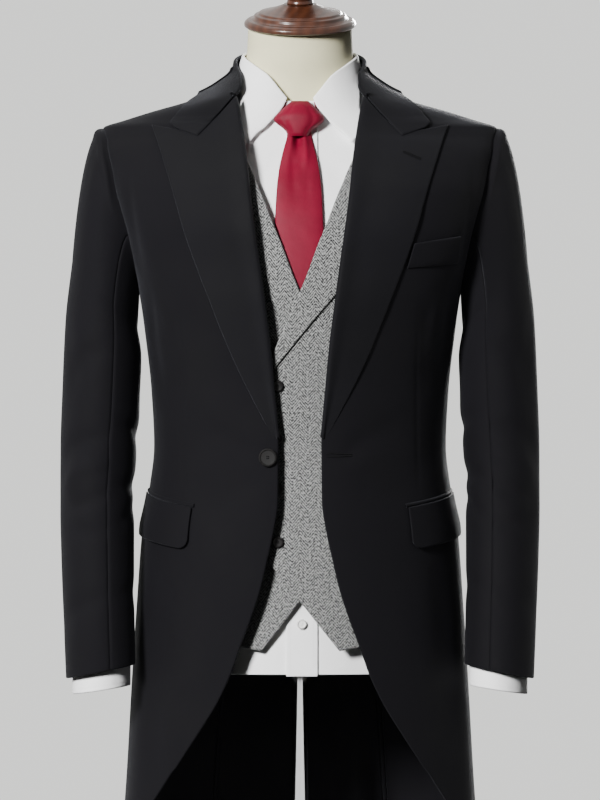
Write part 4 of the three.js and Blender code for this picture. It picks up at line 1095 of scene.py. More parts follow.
@dataclass(frozen=True)
class Satin:
    """Silk satin with fine slanted ribs and a soft bright sheen."""

    name: str
    deep: tuple[float, float, float] = (0.12, 0.0015, 0.013)
    bright: tuple[float, float, float] = (0.185, 0.003, 0.022)

    def make(self) -> Material:
        """Returns the finish."""
        nodes = Nodes(self.name)
        place = nodes.weave_place()
        spot = nodes.object_place()
        across, up = nodes.axes(place)[:2]
        rib = nodes.wave(nodes.sum("SUBTRACT", across, up), 0.0011)
        thread = nodes.noise(nodes.scaled(place, (1, 0.2, 1), math.radians(45)), 1600, 2, 0.5)
        cloud = nodes.noise(spot, 22, 3, 0.6)
        tone = nodes.plus(nodes.ramp(cloud, 0.35, 0.65, 0, 0.6), nodes.ramp(thread, 0.3, 0.7, 0, 0.4))
        nodes.tint(tone, self.deep, self.bright)
        nodes.set(Roughness=nodes.ramp(thread, 0.3, 0.7, 0.46, 0.58))
        nodes.set(Sheen_Weight=0.03, Sheen_Roughness=0.32, Sheen_Tint=colour(1.0, 0.3, 0.42))
        nodes.set(Specular_IOR_Level=0.13, Anisotropic=0.35)
        nodes.bump((nodes.noise(spot, 70, 3, 0.5), 0.0005), (rib, 0.00003))
        return nodes.material


@dataclass(frozen=True)
class Jersey:
    """Plain cream jersey stretched over the form."""

    name: str
    tint: tuple[float, float, float] = (0.74, 0.70, 0.46)

    def make(self) -> Material:
        """Returns the finish."""
        nodes = Nodes(self.name)
        spot = nodes.object_place()
        rows = nodes.wave(nodes.axes(spot)[2], 0.0009)
        grain = nodes.noise(spot, 1400, 2, 0.6)
        cloud = nodes.noise(spot, 18, 3, 0.6)
        shade = tuple(value * 0.9 for value in self.tint)
        tone = nodes.plus(nodes.ramp(cloud, 0.35, 0.65, 0, 0.6), nodes.ramp(grain, 0.3, 0.7, 0, 0.4))
        nodes.tint(tone, shade, self.tint)
        nodes.set(Roughness=0.8, Sheen_Weight=0.25, Sheen_Roughness=0.5, Specular_IOR_Level=0.3)
        nodes.bump((grain, 0.0001), (rows, 0.00004))
        return nodes.material


@dataclass(frozen=True)
class TurnedWood:
    """Reddish brown hardwood, turned and lacquered."""

    name: str
    dark: tuple[float, float, float] = (0.020, 0.0055, 0.0025)
    light: tuple[float, float, float] = (0.085, 0.027, 0.012)

    def make(self) -> Material:
        """Returns the finish."""
        nodes = Nodes(self.name)
        spot = nodes.object_place()
        long = nodes.scaled(spot, (1.0, 1.0, 0.22), 0.4)
        wave = nodes.add("TexWave", {
            "Vector": long, "Scale": 26.0, "Distortion": 3.0, "Detail": 3.0, "Detail Scale": 1.6,
        })
        pores = nodes.noise(nodes.scaled(spot, (1, 1, 0.12)), 900, 2, 0.6)
        figure_tone = nodes.ramp(wave.outputs["Fac"], 0.0, 1.0, 0.32, 0.72)
        tone = nodes.times(figure_tone, nodes.ramp(pores, 0.3, 0.6, 0.6, 1.1))
        nodes.tint(tone, self.dark, self.light)
        nodes.set(Roughness=nodes.ramp(pores, 0.3, 0.7, 0.36, 0.28))
        nodes.set(Coat_Weight=0.28, Coat_Roughness=0.16, Specular_IOR_Level=0.22)
        nodes.bump((pores, 0.00003), (wave.outputs["Fac"], 0.00004))
        return nodes.material


@dataclass(frozen=True)
class Metal:
    """Polished or brushed metal with faint wear."""

    name: str
    tint: tuple[float, float, float]
    roughness: float
    brushed: float = 0.0

    def make(self) -> Material:
        """Returns the finish."""
        nodes = Nodes(self.name)
        spot = nodes.object_place()
        smear = nodes.noise(spot, 35, 3, 0.6)
        x, y, z = nodes.axes(spot)
        square = nodes.plus(nodes.times(x, x), nodes.times(y, y))
        ring = nodes.add("CombineXYZ", {0: nodes.sum("SQRT", square), 2: nodes.times(z, 0.02)})
        lines = nodes.noise(ring.outputs[0], 1500, 2, 0.6)
        rough = nodes.plus(nodes.ramp(smear, 0.35, 0.7, 0, 0.06), self.roughness)
        nodes.tint(nodes.ramp(smear, 0.3, 0.7, 0, 1), [value * 0.94 for value in self.tint], self.tint)
        nodes.set(Metallic=1.0, Roughness=nodes.plus(rough, nodes.times(lines, self.brushed)))
        nodes.bump((lines, 0.00002 * (1 if self.brushed else 0.1)))
        return nodes.material


@dataclass(frozen=True)
class Polished:
    """Horn, pearl or thread: a soft-edged gloss with cloudy colour."""

    name: str
    dark: tuple[float, float, float]
    light: tuple[float, float, float]
    roughness: float
    scale: float = 220.0
    coat: float = 0.3
    shine: float = 0.3

    def make(self) -> Material:
        """Returns the finish."""
        nodes = Nodes(self.name)
        spot = nodes.object_place()
        cloud = nodes.noise(spot, self.scale, 3, 0.6)
        nodes.tint(nodes.ramp(cloud, 0.3, 0.7, 0, 1), self.dark, self.light)
        nodes.set(Roughness=nodes.ramp(cloud, 0.3, 0.7, self.roughness, self.roughness + 0.12))
        nodes.set(Coat_Weight=self.coat, Coat_Roughness=0.15, Specular_IOR_Level=self.shine)
        nodes.bump((cloud, 0.00004))
        return nodes.material


# Finishing calls

LEAST_CUT = 10.5


def finish_hard(piece: bpy.types.Object, node: str) -> None:
    """Attaches a piece that isn't a sheet of cloth to the root, hides the solid that it stands for and logs
    its faces.
    """
    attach(piece, "root")
    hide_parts(node)
    log.info("%s: %d faces", piece.name, len(piece.data.polygons))


@dataclass
class Garment:
    """A garment whose pieces are thin shells of one cloth."""

    cloth: Material
    sheets: dict[str, Sheet] = field(default_factory=dict, init=False)
    kind: ClassVar[str]
    slot: ClassVar[str]
    wall: ClassVar[float]

    def add(self, name: str, sheet: Sheet, rests_on: str, wall: float | None = None,
            finish: Material | None = None, held: str = "hung") -> None:
        """Makes one piece from its sheet, hides the solid that it stands for and logs the size of its cloth.

        Args:
            name: The piece's name after the garment's.
            sheet: The outer face.
            rests_on: Not used.
            wall: The cloth's thickness, where it isn't the garment's own.
            finish: The finish, where it isn't the garment's own.
            held: Not used.
        """
        self.sheets[name] = sheet
        node = f"{self.kind}_{name}"
        piece = cloth_piece(f"{node}_cloth", sheet, wall or self.wall, finish or self.cloth)
        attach(piece, "root")
        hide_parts(node)
        width, length = (max(size, LEAST_CUT) for size in sheet.flat_size())
        area = min(sheet.area(), width * length)
        log.info("%s: cloth %.0f x %.0f mm, %.4f m2", piece.name, width, length, area * MM * MM)


# The morning coat


@dataclass
class MorningCoat(Garment):
    """The black coat: body panels, sleeves, lapels, collar, pockets and buttons."""

    facing: Material
    kind: ClassVar[str] = "coat"
    slot: ClassVar[str] = "coat_wool"
    wall: ClassVar[float] = CLOTH["coat"]
    levels_below: int = 118
    levels_armhole: int = 52
    levels_shoulder: int = 34
    hem: float = 480.0
    top: float = 1485.0
    lapel_top: float = 1060.0
    edge_back: float = 5.0
    vent_top: float = 1012.0
    vent_lap: float = 7.0
    vent_lift: float = 3.4
    bulge_z: float = 1010.0
    bulge_reach: float = 95.0
    bulge_width: float = 55.0
    bulge_lift: float = 5.0
    edge_x: Curve = field(default_factory=lambda: COAT_EDGE.curve("x"))
    tail_angle: Curve = field(default_factory=lambda: TAIL_EDGE.curve("angle"))
    side_seam: Curve = field(default_factory=lambda: COAT_SEAMS.curve("side"))
    back_seam: Curve = field(default_factory=lambda: COAT_SEAMS.curve("back"))

    def levels(self, low: float, high: float) -> Array:
        """Returns the levels of the rows, close together at both ends of the armhole."""
        hole = COAT_ARMHOLE
        below = np.linspace(self.hem, hole.z - hole.rise, self.levels_below)
        above = np.linspace(hole.z + hole.rise, self.top, self.levels_shoulder)
        ends = [self.hem + 1.5, self.hem + 3, low, high]
        every = np.concatenate([below, hole.levels(self.levels_armhole), above, ends])
        return np.unique(np.round(every[(every >= low) & (every <= high)], 3))

    def front_edge(self, z: Array) -> Array:
        """Returns the angle of the front edge at levels."""
        behind = self.edge_back * ease(self.lapel_top, self.lapel_top + 60, z)
        facing = coat.angle_at(self.edge_x(z) + behind, z)
        return np.where(z < 690, self.tail_angle(z), facing)

    def front_end(self, z: Array) -> Array:
        """Returns the angle at which the front ends, at the side seam or the armhole."""
        seam = np.where(z < COAT_ARMHOLE.z, self.side_seam(z), 90.0)
        return np.where(COAT_ARMHOLE.holds(z), COAT_ARMHOLE.angle(coat, z, True), seam)

    def back_start(self, z: Array) -> Array:
        """Returns the angle at which the back begins."""
        return np.where(z <= SIDE_TOP, self.back_seam(z), COAT_ARMHOLE.edge(coat, z, False))

    def front(self, side: Side) -> None:
        """Makes one front."""
        z = self.levels(self.hem, self.top)
        sheet = spanned(coat, self.front_edge(z), self.front_end(z), z, 200, spaced(72, 280)).lay(coat, 0.0)
        sheet = sheet.moved(self.bulge(sheet)).creased(FRONT_CREASES[side]).seamed([Edge.LAST_COLUMN])
        self.add(f"front_{side.value}", sheet.on(side), "waistcoat_front_left")

    def bulge(self, sheet: Sheet) -> Array:
        """Returns how far a front stands away from the waistcoat, most near its button."""
        return self.bulge_at(sheet.edge_distance(Edge.FIRST_COLUMN), sheet.up)

    def bulge_at(self, gone: Array, z: Array) -> Array:
        """Returns the same at distances from the front edge and levels."""
        height = np.exp(-(((z - self.bulge_z) / self.bulge_reach) ** 2))
        return self.bulge_lift * height * np.exp(-((gone / self.bulge_width) ** 2))

    def side_panel(self, side: Side) -> None:
        """Makes the panel under one arm, from the waist seam to the armhole."""
        z = self.levels(WAIST_SEAM, SIDE_TOP)
        hole = COAT_ARMHOLE
        under_arm = np.where(z > hole.z - hole.rise, hole.angle(coat, z, False), self.side_seam(z))
        sheet = spanned(coat, under_arm, self.back_seam(z), z, 80, spaced(36, 120)).lay(coat, 0.0)
        sheet = sheet.creased(SIDE_CREASES[side])
        sheet = sheet.seamed([*COLUMN_EDGES, Edge.FIRST_ROW])
        self.add(f"side_{side.value}", sheet.on(side), f"coat_front_{side.value}")

    def skirt(self, side: Side) -> None:
        """Makes the skirt panel at one hip, from the waist seam to the hem."""
        z = self.levels(self.hem, WAIST_SEAM)
        sheet = spanned(coat, self.side_seam(z), self.back_seam(z), z, 120, spaced(52, 190)).lay(coat, 0.0)
        sheet = sheet.creased(SKIRT_CREASES[side])
        sheet = sheet.seamed([*COLUMN_EDGES, Edge.LAST_ROW])
        self.add(f"skirt_{side.value}", sheet.on(side), f"coat_side_{side.value}")

    def back(self, side: Side) -> None:
        """Makes one half of the back; below the waist the left half laps over the right."""
        z = self.levels(self.hem, self.top)
        laps = 1.0 if side is Side.LEFT else 0.0
        lap = laps * self.vent_lap * (1 - ease(self.vent_top - 6, self.vent_top + 6, z))
        places = spanned(coat, self.back_start(z), 180 + lap, z, 160, spaced(54, 190))
        across = ease(160, 172, places.angle)
        below = 1 - ease(self.vent_top, self.vent_top + 22, places.z)
        out = laps * self.vent_lift * across * below
        sheet = places.lay(coat, out).creased(BACK_CREASES[side])
        centre = ease(self.vent_top, self.vent_top + 12, sheet.up)
        near = np.exp(-((sheet.edge_distance(Edge.LAST_COLUMN) / 2.2) ** 2))
        sheet = sheet.moved(-1.1 * near * centre).seamed([Edge.FIRST_COLUMN])
        self.add(f"back_{side.value}", sheet.on(side), "form_torso")

    def lapels(self) -> None:
        """Makes both lapels, each with a soft roll at its inner edge and a peak at its top."""
        rows = COAT_LAPEL.spread(96)
        height = np.linspace(0, 1, len(rows["roll_x"]))
        shares = spaced(40, 90, also=[0.43])
        start = (coat.angle_at(rows["roll_x"], rows["roll_z"]), rows["roll_z"])
        end = (coat.angle_at(rows["edge_x"], rows["edge_z"]), rows["edge_z"])
        places = place_rows(start, end, shares, coat, notch_bend(0.43, 28, 7))
        lift = LAPEL_GAP + CLOTH["lapel"] + 2.4 * np.exp(-((places.share / 0.16) ** 2))
        flat = places.lay(coat, lift)
        radius = mix(2.6, 4.2, ease(0, 0.35, height))
        sheet = rolled(flat, radius, Edge.FIRST_COLUMN)
        for side in Side:
            made = sheet.creased(LAPEL_CREASES[side]).on(side)
            self.add(f"lapel_{side.value}", made, f"coat_front_{side.value}", CLOTH["lapel"], self.facing)

    def collar(self) -> None:
        """Makes the collar that falls from its fold round the neck, and its stand."""
        half = COAT_COLLAR.spread(72)
        place = np.linspace(1, 0, len(half["fold_z"]))[:, None]
        shares = spaced(26, 52, also=[0.39])
        start = (half["edge_angle"], half["edge_z"])
        end = (half["fold_angle"], half["fold_z"])
        drop = notch_bend(0.61, 23.2, 9)
        ends = place * np.ones(len(shares))
        places = place_rows(start, end, shares, coat, lambda share, height: drop(1 - share, ends))
        places = both_halves(places)
        flat = places.lay(coat, COLLAR_GAP + CLOTH["lapel"])
        sheet = rolled(flat, np.full(places.angle.shape[1], 2.6), Edge.LAST_ROW)
        self.add("collar", sheet, "coat_collar_stand", CLOTH["lapel"], self.facing)
        fold = smooth_curve(half["fold_angle"], half["fold_z"])
        angle = np.linspace(78, 282, 120)
        low = np.full(len(angle), self.top + 1.2)
        high = fold(np.minimum(angle, 360 - angle)) - 3.4
        share, height = share_grids(np.linspace(0, 1, len(angle)), np.linspace(0, 1, 8))
        stand = Places(np.tile(angle, (8, 1)), mix(low, high, height), share, height)
        self.add("collar_stand", stand.lay(coat, -0.6), "shirt_collar", 1.4)


def both_halves(half: Places) -> Places:
    """Returns places all round the neck from the left half's, whose rows run up the collar."""
    angle = np.concatenate([half.angle, 360 - half.angle[-2::-1]]).T
    grids = (np.concatenate([grid, grid[-2::-1]]).T for grid in (half.z, half.share, half.height))
    return Places(angle, *grids)


def notch_bend(at: float, drop: float, fade: float) -> Callable[[Array, Array], Array]:
    """Returns a function that lowers the levels into a notch at a share of each row."""

    def bend(share: Array, height: Array) -> Array:
        """Returns the change of level."""
        near = np.where(share < at, share / at, (1 - share) / (1 - at))
        return -drop * near * height**fade

    return bend


def rolled(flat: Sheet, radius: Array, edge: Edge, steps: int = 9, turn: float = 168.0) -> Sheet:
    """Rolls one edge of a sheet under, as cloth turns over a soft fold.

    Args:
        flat: The sheet.
        radius: The roll's radius at each place of the edge.
        edge: The first column or the last row.
        steps: How many rows or columns the roll has.
        turn: How far it goes round, in degrees.

    Returns:
        The sheet with the roll added.
    """
    by_row = edge is Edge.LAST_ROW
    line = flat.points[-1] if by_row else flat.points[:, 0]
    next_line = flat.points[-2] if by_row else flat.points[:, 1]
    normal = flat.normals[-1] if by_row else flat.normals[:, 0]
    away = unit(line - next_line)
    away = unit(away - normal * (away * normal).sum(axis=-1, keepdims=True))
    phi = np.radians(np.linspace(0, turn, steps + 1)[1:])
    centre = line - normal * radius[:, None]
    ring = [centre + radius[:, None] * (np.cos(p) * normal + np.sin(p) * away) for p in phi]
    across = flat.across[-1] if by_row else flat.across[:, 0]
    up = flat.up[-1] if by_row else flat.up[:, 0]
    if by_row:
        points = np.concatenate([flat.points, np.stack(ring)])
        new_across = np.concatenate([flat.across, np.stack([across] * steps)])
        new_up = np.concatenate([flat.up, np.stack([up + radius * p for p in phi])])
    else:
        points = np.concatenate([np.stack(ring[::-1], axis=1), flat.points], axis=1)
        under = np.stack([across - radius * p for p in phi[::-1]], axis=1)
        new_across = np.concatenate([under, flat.across], axis=1)
        new_up = np.concatenate([np.stack([up] * steps, axis=1), flat.up], axis=1)
    return Sheet(points, new_across, new_up)


# Sleeves


@dataclass(frozen=True)
class SleeveCut:
    """How a sleeve is set into its armhole and how far it lies inside the coat sleeve."""

    body: Body
    armhole: Armhole
    out: float
    inset_side: float
    inset_depth: float
    pull_out: float
    pull_down: float
    pull_under: float
    under_down: float
    under_out: float

    def tube(self, around: Array, z: Array) -> Array:
        """Returns points of the tube: 0 at the outer side, 90 at the front, 180 at the inner side."""
        down = -z
        inner, outer = SLEEVE_CURVES["inner"](down), SLEEVE_CURVES["outer"](down)
        width = (outer - inner) / 2
        turn = np.radians(around)
        reach = (width - self.inset_side) * np.cos(turn)
        x = (outer + inner) / 2 + reach
        y = SLEEVE_CURVES["mid"](down) - (SLEEVE_CURVES["depth"](down) - self.inset_depth) * np.sin(turn)
        return np.stack([x, y, z + SLEEVE_CURVES["slope"](down) * reach / width], axis=-1)

    def head(self, around: Array, share: Array) -> Array:
        """Returns points of the head, eased from the armhole's edge to the top of the tube."""
        turn = np.radians(around)
        start = self.seam(around)
        end = self.tube(around, np.full(np.shape(around), SLEEVE_TOP))
        under = (1 - np.cos(turn)) / 2
        over = 1 - under
        away = np.stack([over, -0.3 * np.sin(turn) * over, 0 * over], axis=-1) * self.pull_out
        away = away + np.stack([self.under_out * under, 0 * under, -self.under_down * under * under], axis=-1)
        drop = np.stack([12 * over, 0 * over, -mix(self.pull_down, self.pull_under, under)], axis=-1)
        share = share[..., None]
        rest = 1 - share
        return (
            start * (1 + 2 * share) * rest * rest
            + away * share * rest * rest
            + end * (3 - 2 * share) * share * share
            - drop * share * share * rest
        )

    def seam(self, around: Array, inside: float = 0.0) -> Array:
        """Returns points of the seam line in the armhole, or of its turning that far inside the coat."""
        edge = self.armhole.point(self.body, around, self.out)
        middle = np.array([0.0, float(self.body.mid(self.armhole.z)), self.armhole.z])
        towards = unit((middle - edge) * np.array([0.0, 1.0, 1.0]))
        return edge + towards * (SEAM_SINK + 0.1 * inside) + np.array([SEAM_GAP - inside, 0, 0])

    def sheet(self, turns: Array, head_shares: Array, levels: Array) -> Sheet:
        """Returns the sleeve between turns, from the armhole down to the last level.

        Args:
            turns: Degrees round the sleeve.
            head_shares: Shares of the head's rows, from 0 at the armhole to 1.
            levels: Falling levels of the tube's rows.
        """
        head = np.stack([self.head(turns, np.full(len(turns), share)) for share in head_shares])
        tube = np.stack([self.tube(turns, np.full(len(turns), z)) for z in levels])
        turning = np.stack([self.seam(turns, inside) for inside in SEAM_TURNING])
        points = np.concatenate([turning, head, tube])
        steps = np.linalg.norm(np.diff(points, axis=1), axis=-1)
        across = np.pad(np.cumsum(steps, axis=1), [(0, 0), (1, 0)])
        across = across - across[:, len(turns) // 2 : len(turns) // 2 + 1]
        middle = np.median(np.linalg.norm(np.diff(points, axis=0), axis=-1), axis=1)
        up = levels[-1] + np.append(np.cumsum(middle[::-1])[::-1], 0)
        return Sheet(points, across, up[:, None] * np.ones(len(turns)))


SEAM_SINK = 0.5
SEAM_TURNING = (4.0, 2.6, 1.2)
SLEEVE_TOP = 1230.0
SLEEVE_SEAM = 108.0
SLEEVE_CURVES = {key: SLEEVE.curve(key, "down") for key in ("inner", "outer", "mid", "depth", "slope")}
COAT_SLEEVE = SleeveCut(coat, COAT_ARMHOLE, 0, 0, 0, 60, 165, 30, 30, 0)
SHIRT_SLEEVE = SleeveCut(figure, SHIRT_ARMHOLE, OUT["shirt"], 7, 14, 50, 150, 88, -8, 50)
SHIRT_CUFF = {
    "top": 846.0, "bottom": 779.0, "inner": 193.5, "outer": 260.0, "mid_top": -50.5, "mid_bottom": -57.5,
    "depth": 38.0, "slope": -5.0, "wall": 1.8,
}


@dataclass
class CoatSleeves:
    """The two-piece sleeves of the coat, with their seams, creases and buttons."""

    coat: MorningCoat
    hem: float = 800.0
    wall: float = 2.2
    rows_head: int = 46
    rows_tube: int = 128

    def build(self, side: Side) -> None:
        """Makes the top and the under sleeve of one arm."""
        half = SLEEVE_SEAM
        self.panel(side, "top_sleeve", spaced(54, 190) * 2 * half - half)
        self.panel(side, "under_sleeve", spaced(34, 120) * (360 - 2 * half) + half)

    def panel(self, side: Side, name: str, turns: Array) -> None:
        """Makes one panel of a sleeve.

        Args:
            side: The arm.
            name: The panel's name.
            turns: Degrees round the sleeve at its columns.
        """
        shares = np.unique(np.append(np.linspace(0, 1, self.rows_head) ** 1.25, 0.004))
        inner = np.linspace(SLEEVE_TOP, self.hem, self.rows_tube)[1:-1]
        near_hem = np.append(inner, [self.hem + 3, self.hem + 1.5])
        levels = np.append(np.sort(near_hem)[::-1], self.hem)
        sheet = COAT_SLEEVE.sheet(turns, shares, levels)
        sheet = sheet.creased(SLEEVE_CREASES[side][name])
        gone = sheet.edge_distance(Edge.FIRST_ROW) - SEAM_TURNING[0]
        roping = 2.0 * np.exp(-(((gone - 9) / 6) ** 2)) * ease(0, 5, gone)
        over = ease(-0.1, 0.6, np.cos(np.radians(turns)))[None, :]
        sheet = sheet.moved(roping * over)
        sheet = sheet.seamed(COLUMN_EDGES, 0.9, 1.8)
        self.coat.add(f"{name}_{side.value}", sheet.on(side), f"coat_front_{side.value}", self.wall)


# Pockets of the coat


@dataclass
class CoatPockets:
    """Flap pockets at both hips and the welt pocket on the left breast."""

    coat: MorningCoat
    first: float = 43.0
    last: float = 87.0
    top_front: float = 986.0
    top_side: float = 1003.0
    depth: float = 47.0
    flap_length: float = 100.0
    corner: float = 11.0
    jetting: float = 5.0

    def flap(self, side: Side) -> None:
        """Makes one flap, with rounded lower corners and a slight lift at its free edge."""
        shares = spaced(60, 110, 1.2)
        down = spaced(34, self.depth, 1.2)[::-1]
        inside = np.minimum(np.minimum(shares, 1 - shares) * self.flap_length / self.corner, 1)
        corner = 1 - np.sqrt(np.clip(1 - (1 - inside) ** 2, 0, 1))
        share, height = share_grids(shares, down)
        top = mix(self.top_front, self.top_side, share)
        z = top - height * (self.depth - corner[None, :] * self.corner)
        angle = mix(self.first, self.last, share)
        lift = LIE_GAP + CLOTH["trim"] + 1.3 * height**2
        sheet = Places(angle, z, share, height).lay(coat, lift)
        self.coat.add(f"pocket_flap_{side.value}", sheet.on(side), f"coat_front_{side.value}", CLOTH["trim"])

    def jetting_strip(self, side: Side) -> None:
        """Makes the narrow folded strip over one flap."""
        share, height = share_grids(spaced(60, 115, 0.8), np.linspace(0, 1, 7))
        z = mix(self.top_front, self.top_side, share) + mix(0.6, self.jetting, height)
        angle = mix(self.first - 1, self.last + 1, share)
        lift = 0.5 + 1.4 * np.sin(np.pi * np.clip(height, 0, 1)) ** 0.6
        sheet = Places(angle, z, share, height).lay(coat, lift)
        self.coat.add(f"pocket_jetting_{side.value}", sheet.on(side), f"coat_front_{side.value}", 1.0)

    def welt(self) -> None:
        """Makes the breast welt on the wearer's left."""
        share, height = share_grids(spaced(36, 55, 1.0), np.linspace(0, 1, 18))
        x = mix(mix(121.5, 178.5, share), mix(129.5, 181.5, share), height)
        z = mix(mix(1259, 1265, share), mix(1286, 1295, share), height)
        lift = LIE_GAP + CLOTH["trim"] - 0.9 * np.exp(-((height * 27 / 3) ** 2))
        sheet = Places(coat.angle_at(x, z), z, share, height).lay(coat, lift)
        self.coat.add("breast_welt", sheet, "coat_front_left", CLOTH["trim"])


# The shirt


@dataclass
class Shirt(Garment):
    """The white shirt: body, placket, fold-down collar, sleeves, cuffs and its one button that shows."""

    kind: ClassVar[str] = "shirt"
    slot: ClassVar[str] = "shirt_cotton"
    wall: ClassVar[float] = CLOTH["shirt"]
    hem: float = 797.0
    neck_front: float = 1436.0
    neck_side: float = 1484.0
    neck_back: float = 1489.0
    point_lift: float = 4.0

    def neck(self, angle: Array) -> Array:
        """Returns the level of the neck seam at angles."""
        front = mix(self.neck_front, self.neck_side, angle / 90)
        return np.where(angle <= 90, front, mix(self.neck_side, self.neck_back, (angle - 90) / 90))

    def levels(self) -> Array:
        """Returns the levels of the rows, close together at the armhole."""
        hole = SHIRT_ARMHOLE
        parts = [
            np.linspace(self.hem, hole.z - hole.rise, 52),
            hole.levels(40),
            np.linspace(hole.z + hole.rise, self.neck_side, 24),
            [self.hem + 1, self.hem + 2],
        ]
        return np.unique(np.round(np.concatenate(parts), 3))

    def body(self) -> None:
        """Makes both fronts and the back."""
        z = self.levels()
        above = ease(1251, self.neck_side, z)
        front_z = z + (self.neck_front - self.neck_side) * above
        back_z = z + (self.neck_back - self.neck_side) * above
        shares = spaced(28, 250, 1.0)
        side_seam = SHIRT_ARMHOLE.edge(figure, z, True)
        rows = place_rows((0 * z + 0.05, front_z), (side_seam, z), np.linspace(0, 1, 120))
        front = even_rows(figure, rows, shares).lay(figure, OUT["shirt"]).creased(SHIRT_CREASES)
        for side in Side:
            self.add(f"front_{side.value}", front.on(side), "form_torso")
        side_seam = SHIRT_ARMHOLE.edge(figure, z, False)
        rows = place_rows((side_seam, z), (0 * z + 180, back_z), np.linspace(0, 1, 120))
        half = even_rows(figure, rows, shares)
        angle = np.concatenate([half.angle, 360 - half.angle[:, -2::-1]], axis=1)
        level = np.concatenate([half.z, half.z[:, -2::-1]], axis=1)
        share = np.linspace(0, 1, angle.shape[1]) * np.ones((len(z), 1))
        back = Places(angle, level, share, half.height[:, :1] * np.ones(angle.shape[1]))
        self.add("back", back.lay(figure, OUT["shirt"]), "form_torso")

    def placket(self) -> None:
        """Makes the strip down the front that carries the buttons."""
        z = np.unique(np.append(np.linspace(795, 1434, 130), [796, 797]))
        share, level = share_grids(spaced(14, 34, 0.8), z)
        angle = figure.angle_at(mix(-15.0, 19.5, share), level)
        strip = Places(angle, level, share, level).lay(figure, OUT["placket"])
        self.add("placket", strip, "shirt_front_left")

    def collar(self) -> None:
        """Makes the stand and the leaves that fold down from it to two points."""
        half = SHIRT_COLLAR.spread(84)
        shares = spaced(20, 40, 1.0)
        start = (half["edge_angle"], half["edge_z"])
        places = both_halves(place_rows(start, (half["fold_angle"], half["fold_z"]), shares))
        belly = 1.2 * np.sin(np.pi * np.clip(places.share, 0, 1))
        near = np.minimum(places.angle, 360 - places.angle)
        lift = self.point_lift * (1 - ease(14, 44, near)) * np.clip(1 - places.share, 0, 1) ** 0.8
        flat = places.lay(figure, OUT["collar"] + belly + lift)
        sheet = rolled(flat, np.full(places.angle.shape[1], 1.9), Edge.LAST_ROW, 7)
        self.add("collar", sheet, "shirt_collar_stand")
        fold = smooth_curve(half["fold_angle"], half["fold_z"])
        angle = np.concatenate([[3.0], half["fold_angle"], 360 - half["fold_angle"][-2::-1], [357.0]])
        near = np.minimum(angle, 360 - angle)
        low, high = self.neck(near) + 1.5, fold(near) - 2.6
        share, height = share_grids(np.linspace(0, 1, len(angle)), np.linspace(0, 1, 12))
        stand = Places(np.tile(angle, (12, 1)), mix(low, high, height), share, height)
        self.add("collar_stand", stand.lay(figure, OUT["shirt"]), "form_torso")

    def sleeve(self, side: Side) -> None:
        """Makes one sleeve and its cuff."""
        turns = np.linspace(0, 360, 61)[:-1]
        levels = np.linspace(SLEEVE_TOP, 847, 40)[1:]
        sheet = SHIRT_SLEEVE.sheet(turns, np.linspace(0, 1, 22), levels)
        sheet.closed = True
        self.add(f"sleeve_{side.value}", sheet.on(side), f"coat_top_sleeve_{side.value}")
        cuff = self.cuff().on(side)
        self.add(f"cuff_{side.value}", cuff, f"shirt_sleeve_{side.value}", SHIRT_CUFF["wall"])

    def cuff(self) -> Sheet:
        """Returns a cuff whose ends lap, the outer end at the outer back of the wrist."""
        size = SHIRT_CUFF
        turns = np.linspace(-70, 300, 110)
        z = np.append(np.linspace(size["top"], size["bottom"] + 2, 20), [size["bottom"] + 1, size["bottom"]])
        width = (size["outer"] - size["inner"]) / 2
        lap = -2.2 * ease(270, 296, turns)
        turn = np.radians(turns)[None, :]
        level = z[:, None]
        height = (level - size["bottom"]) / (size["top"] - size["bottom"])
        mid = mix(size["mid_bottom"], size["mid_top"], height)
        x = (size["outer"] + size["inner"]) / 2 + (width + lap) * np.cos(turn) + 0 * level
        y = mid - (size["depth"] + lap) * np.sin(turn)
        up = level + size["slope"] * np.cos(turn)
        across = (turns / 360 * 2 * math.pi * 35)[None, :] + 0 * level
        return Sheet(np.stack([x, y, up], axis=-1), across, level + 0 * turn)


# The waistcoat


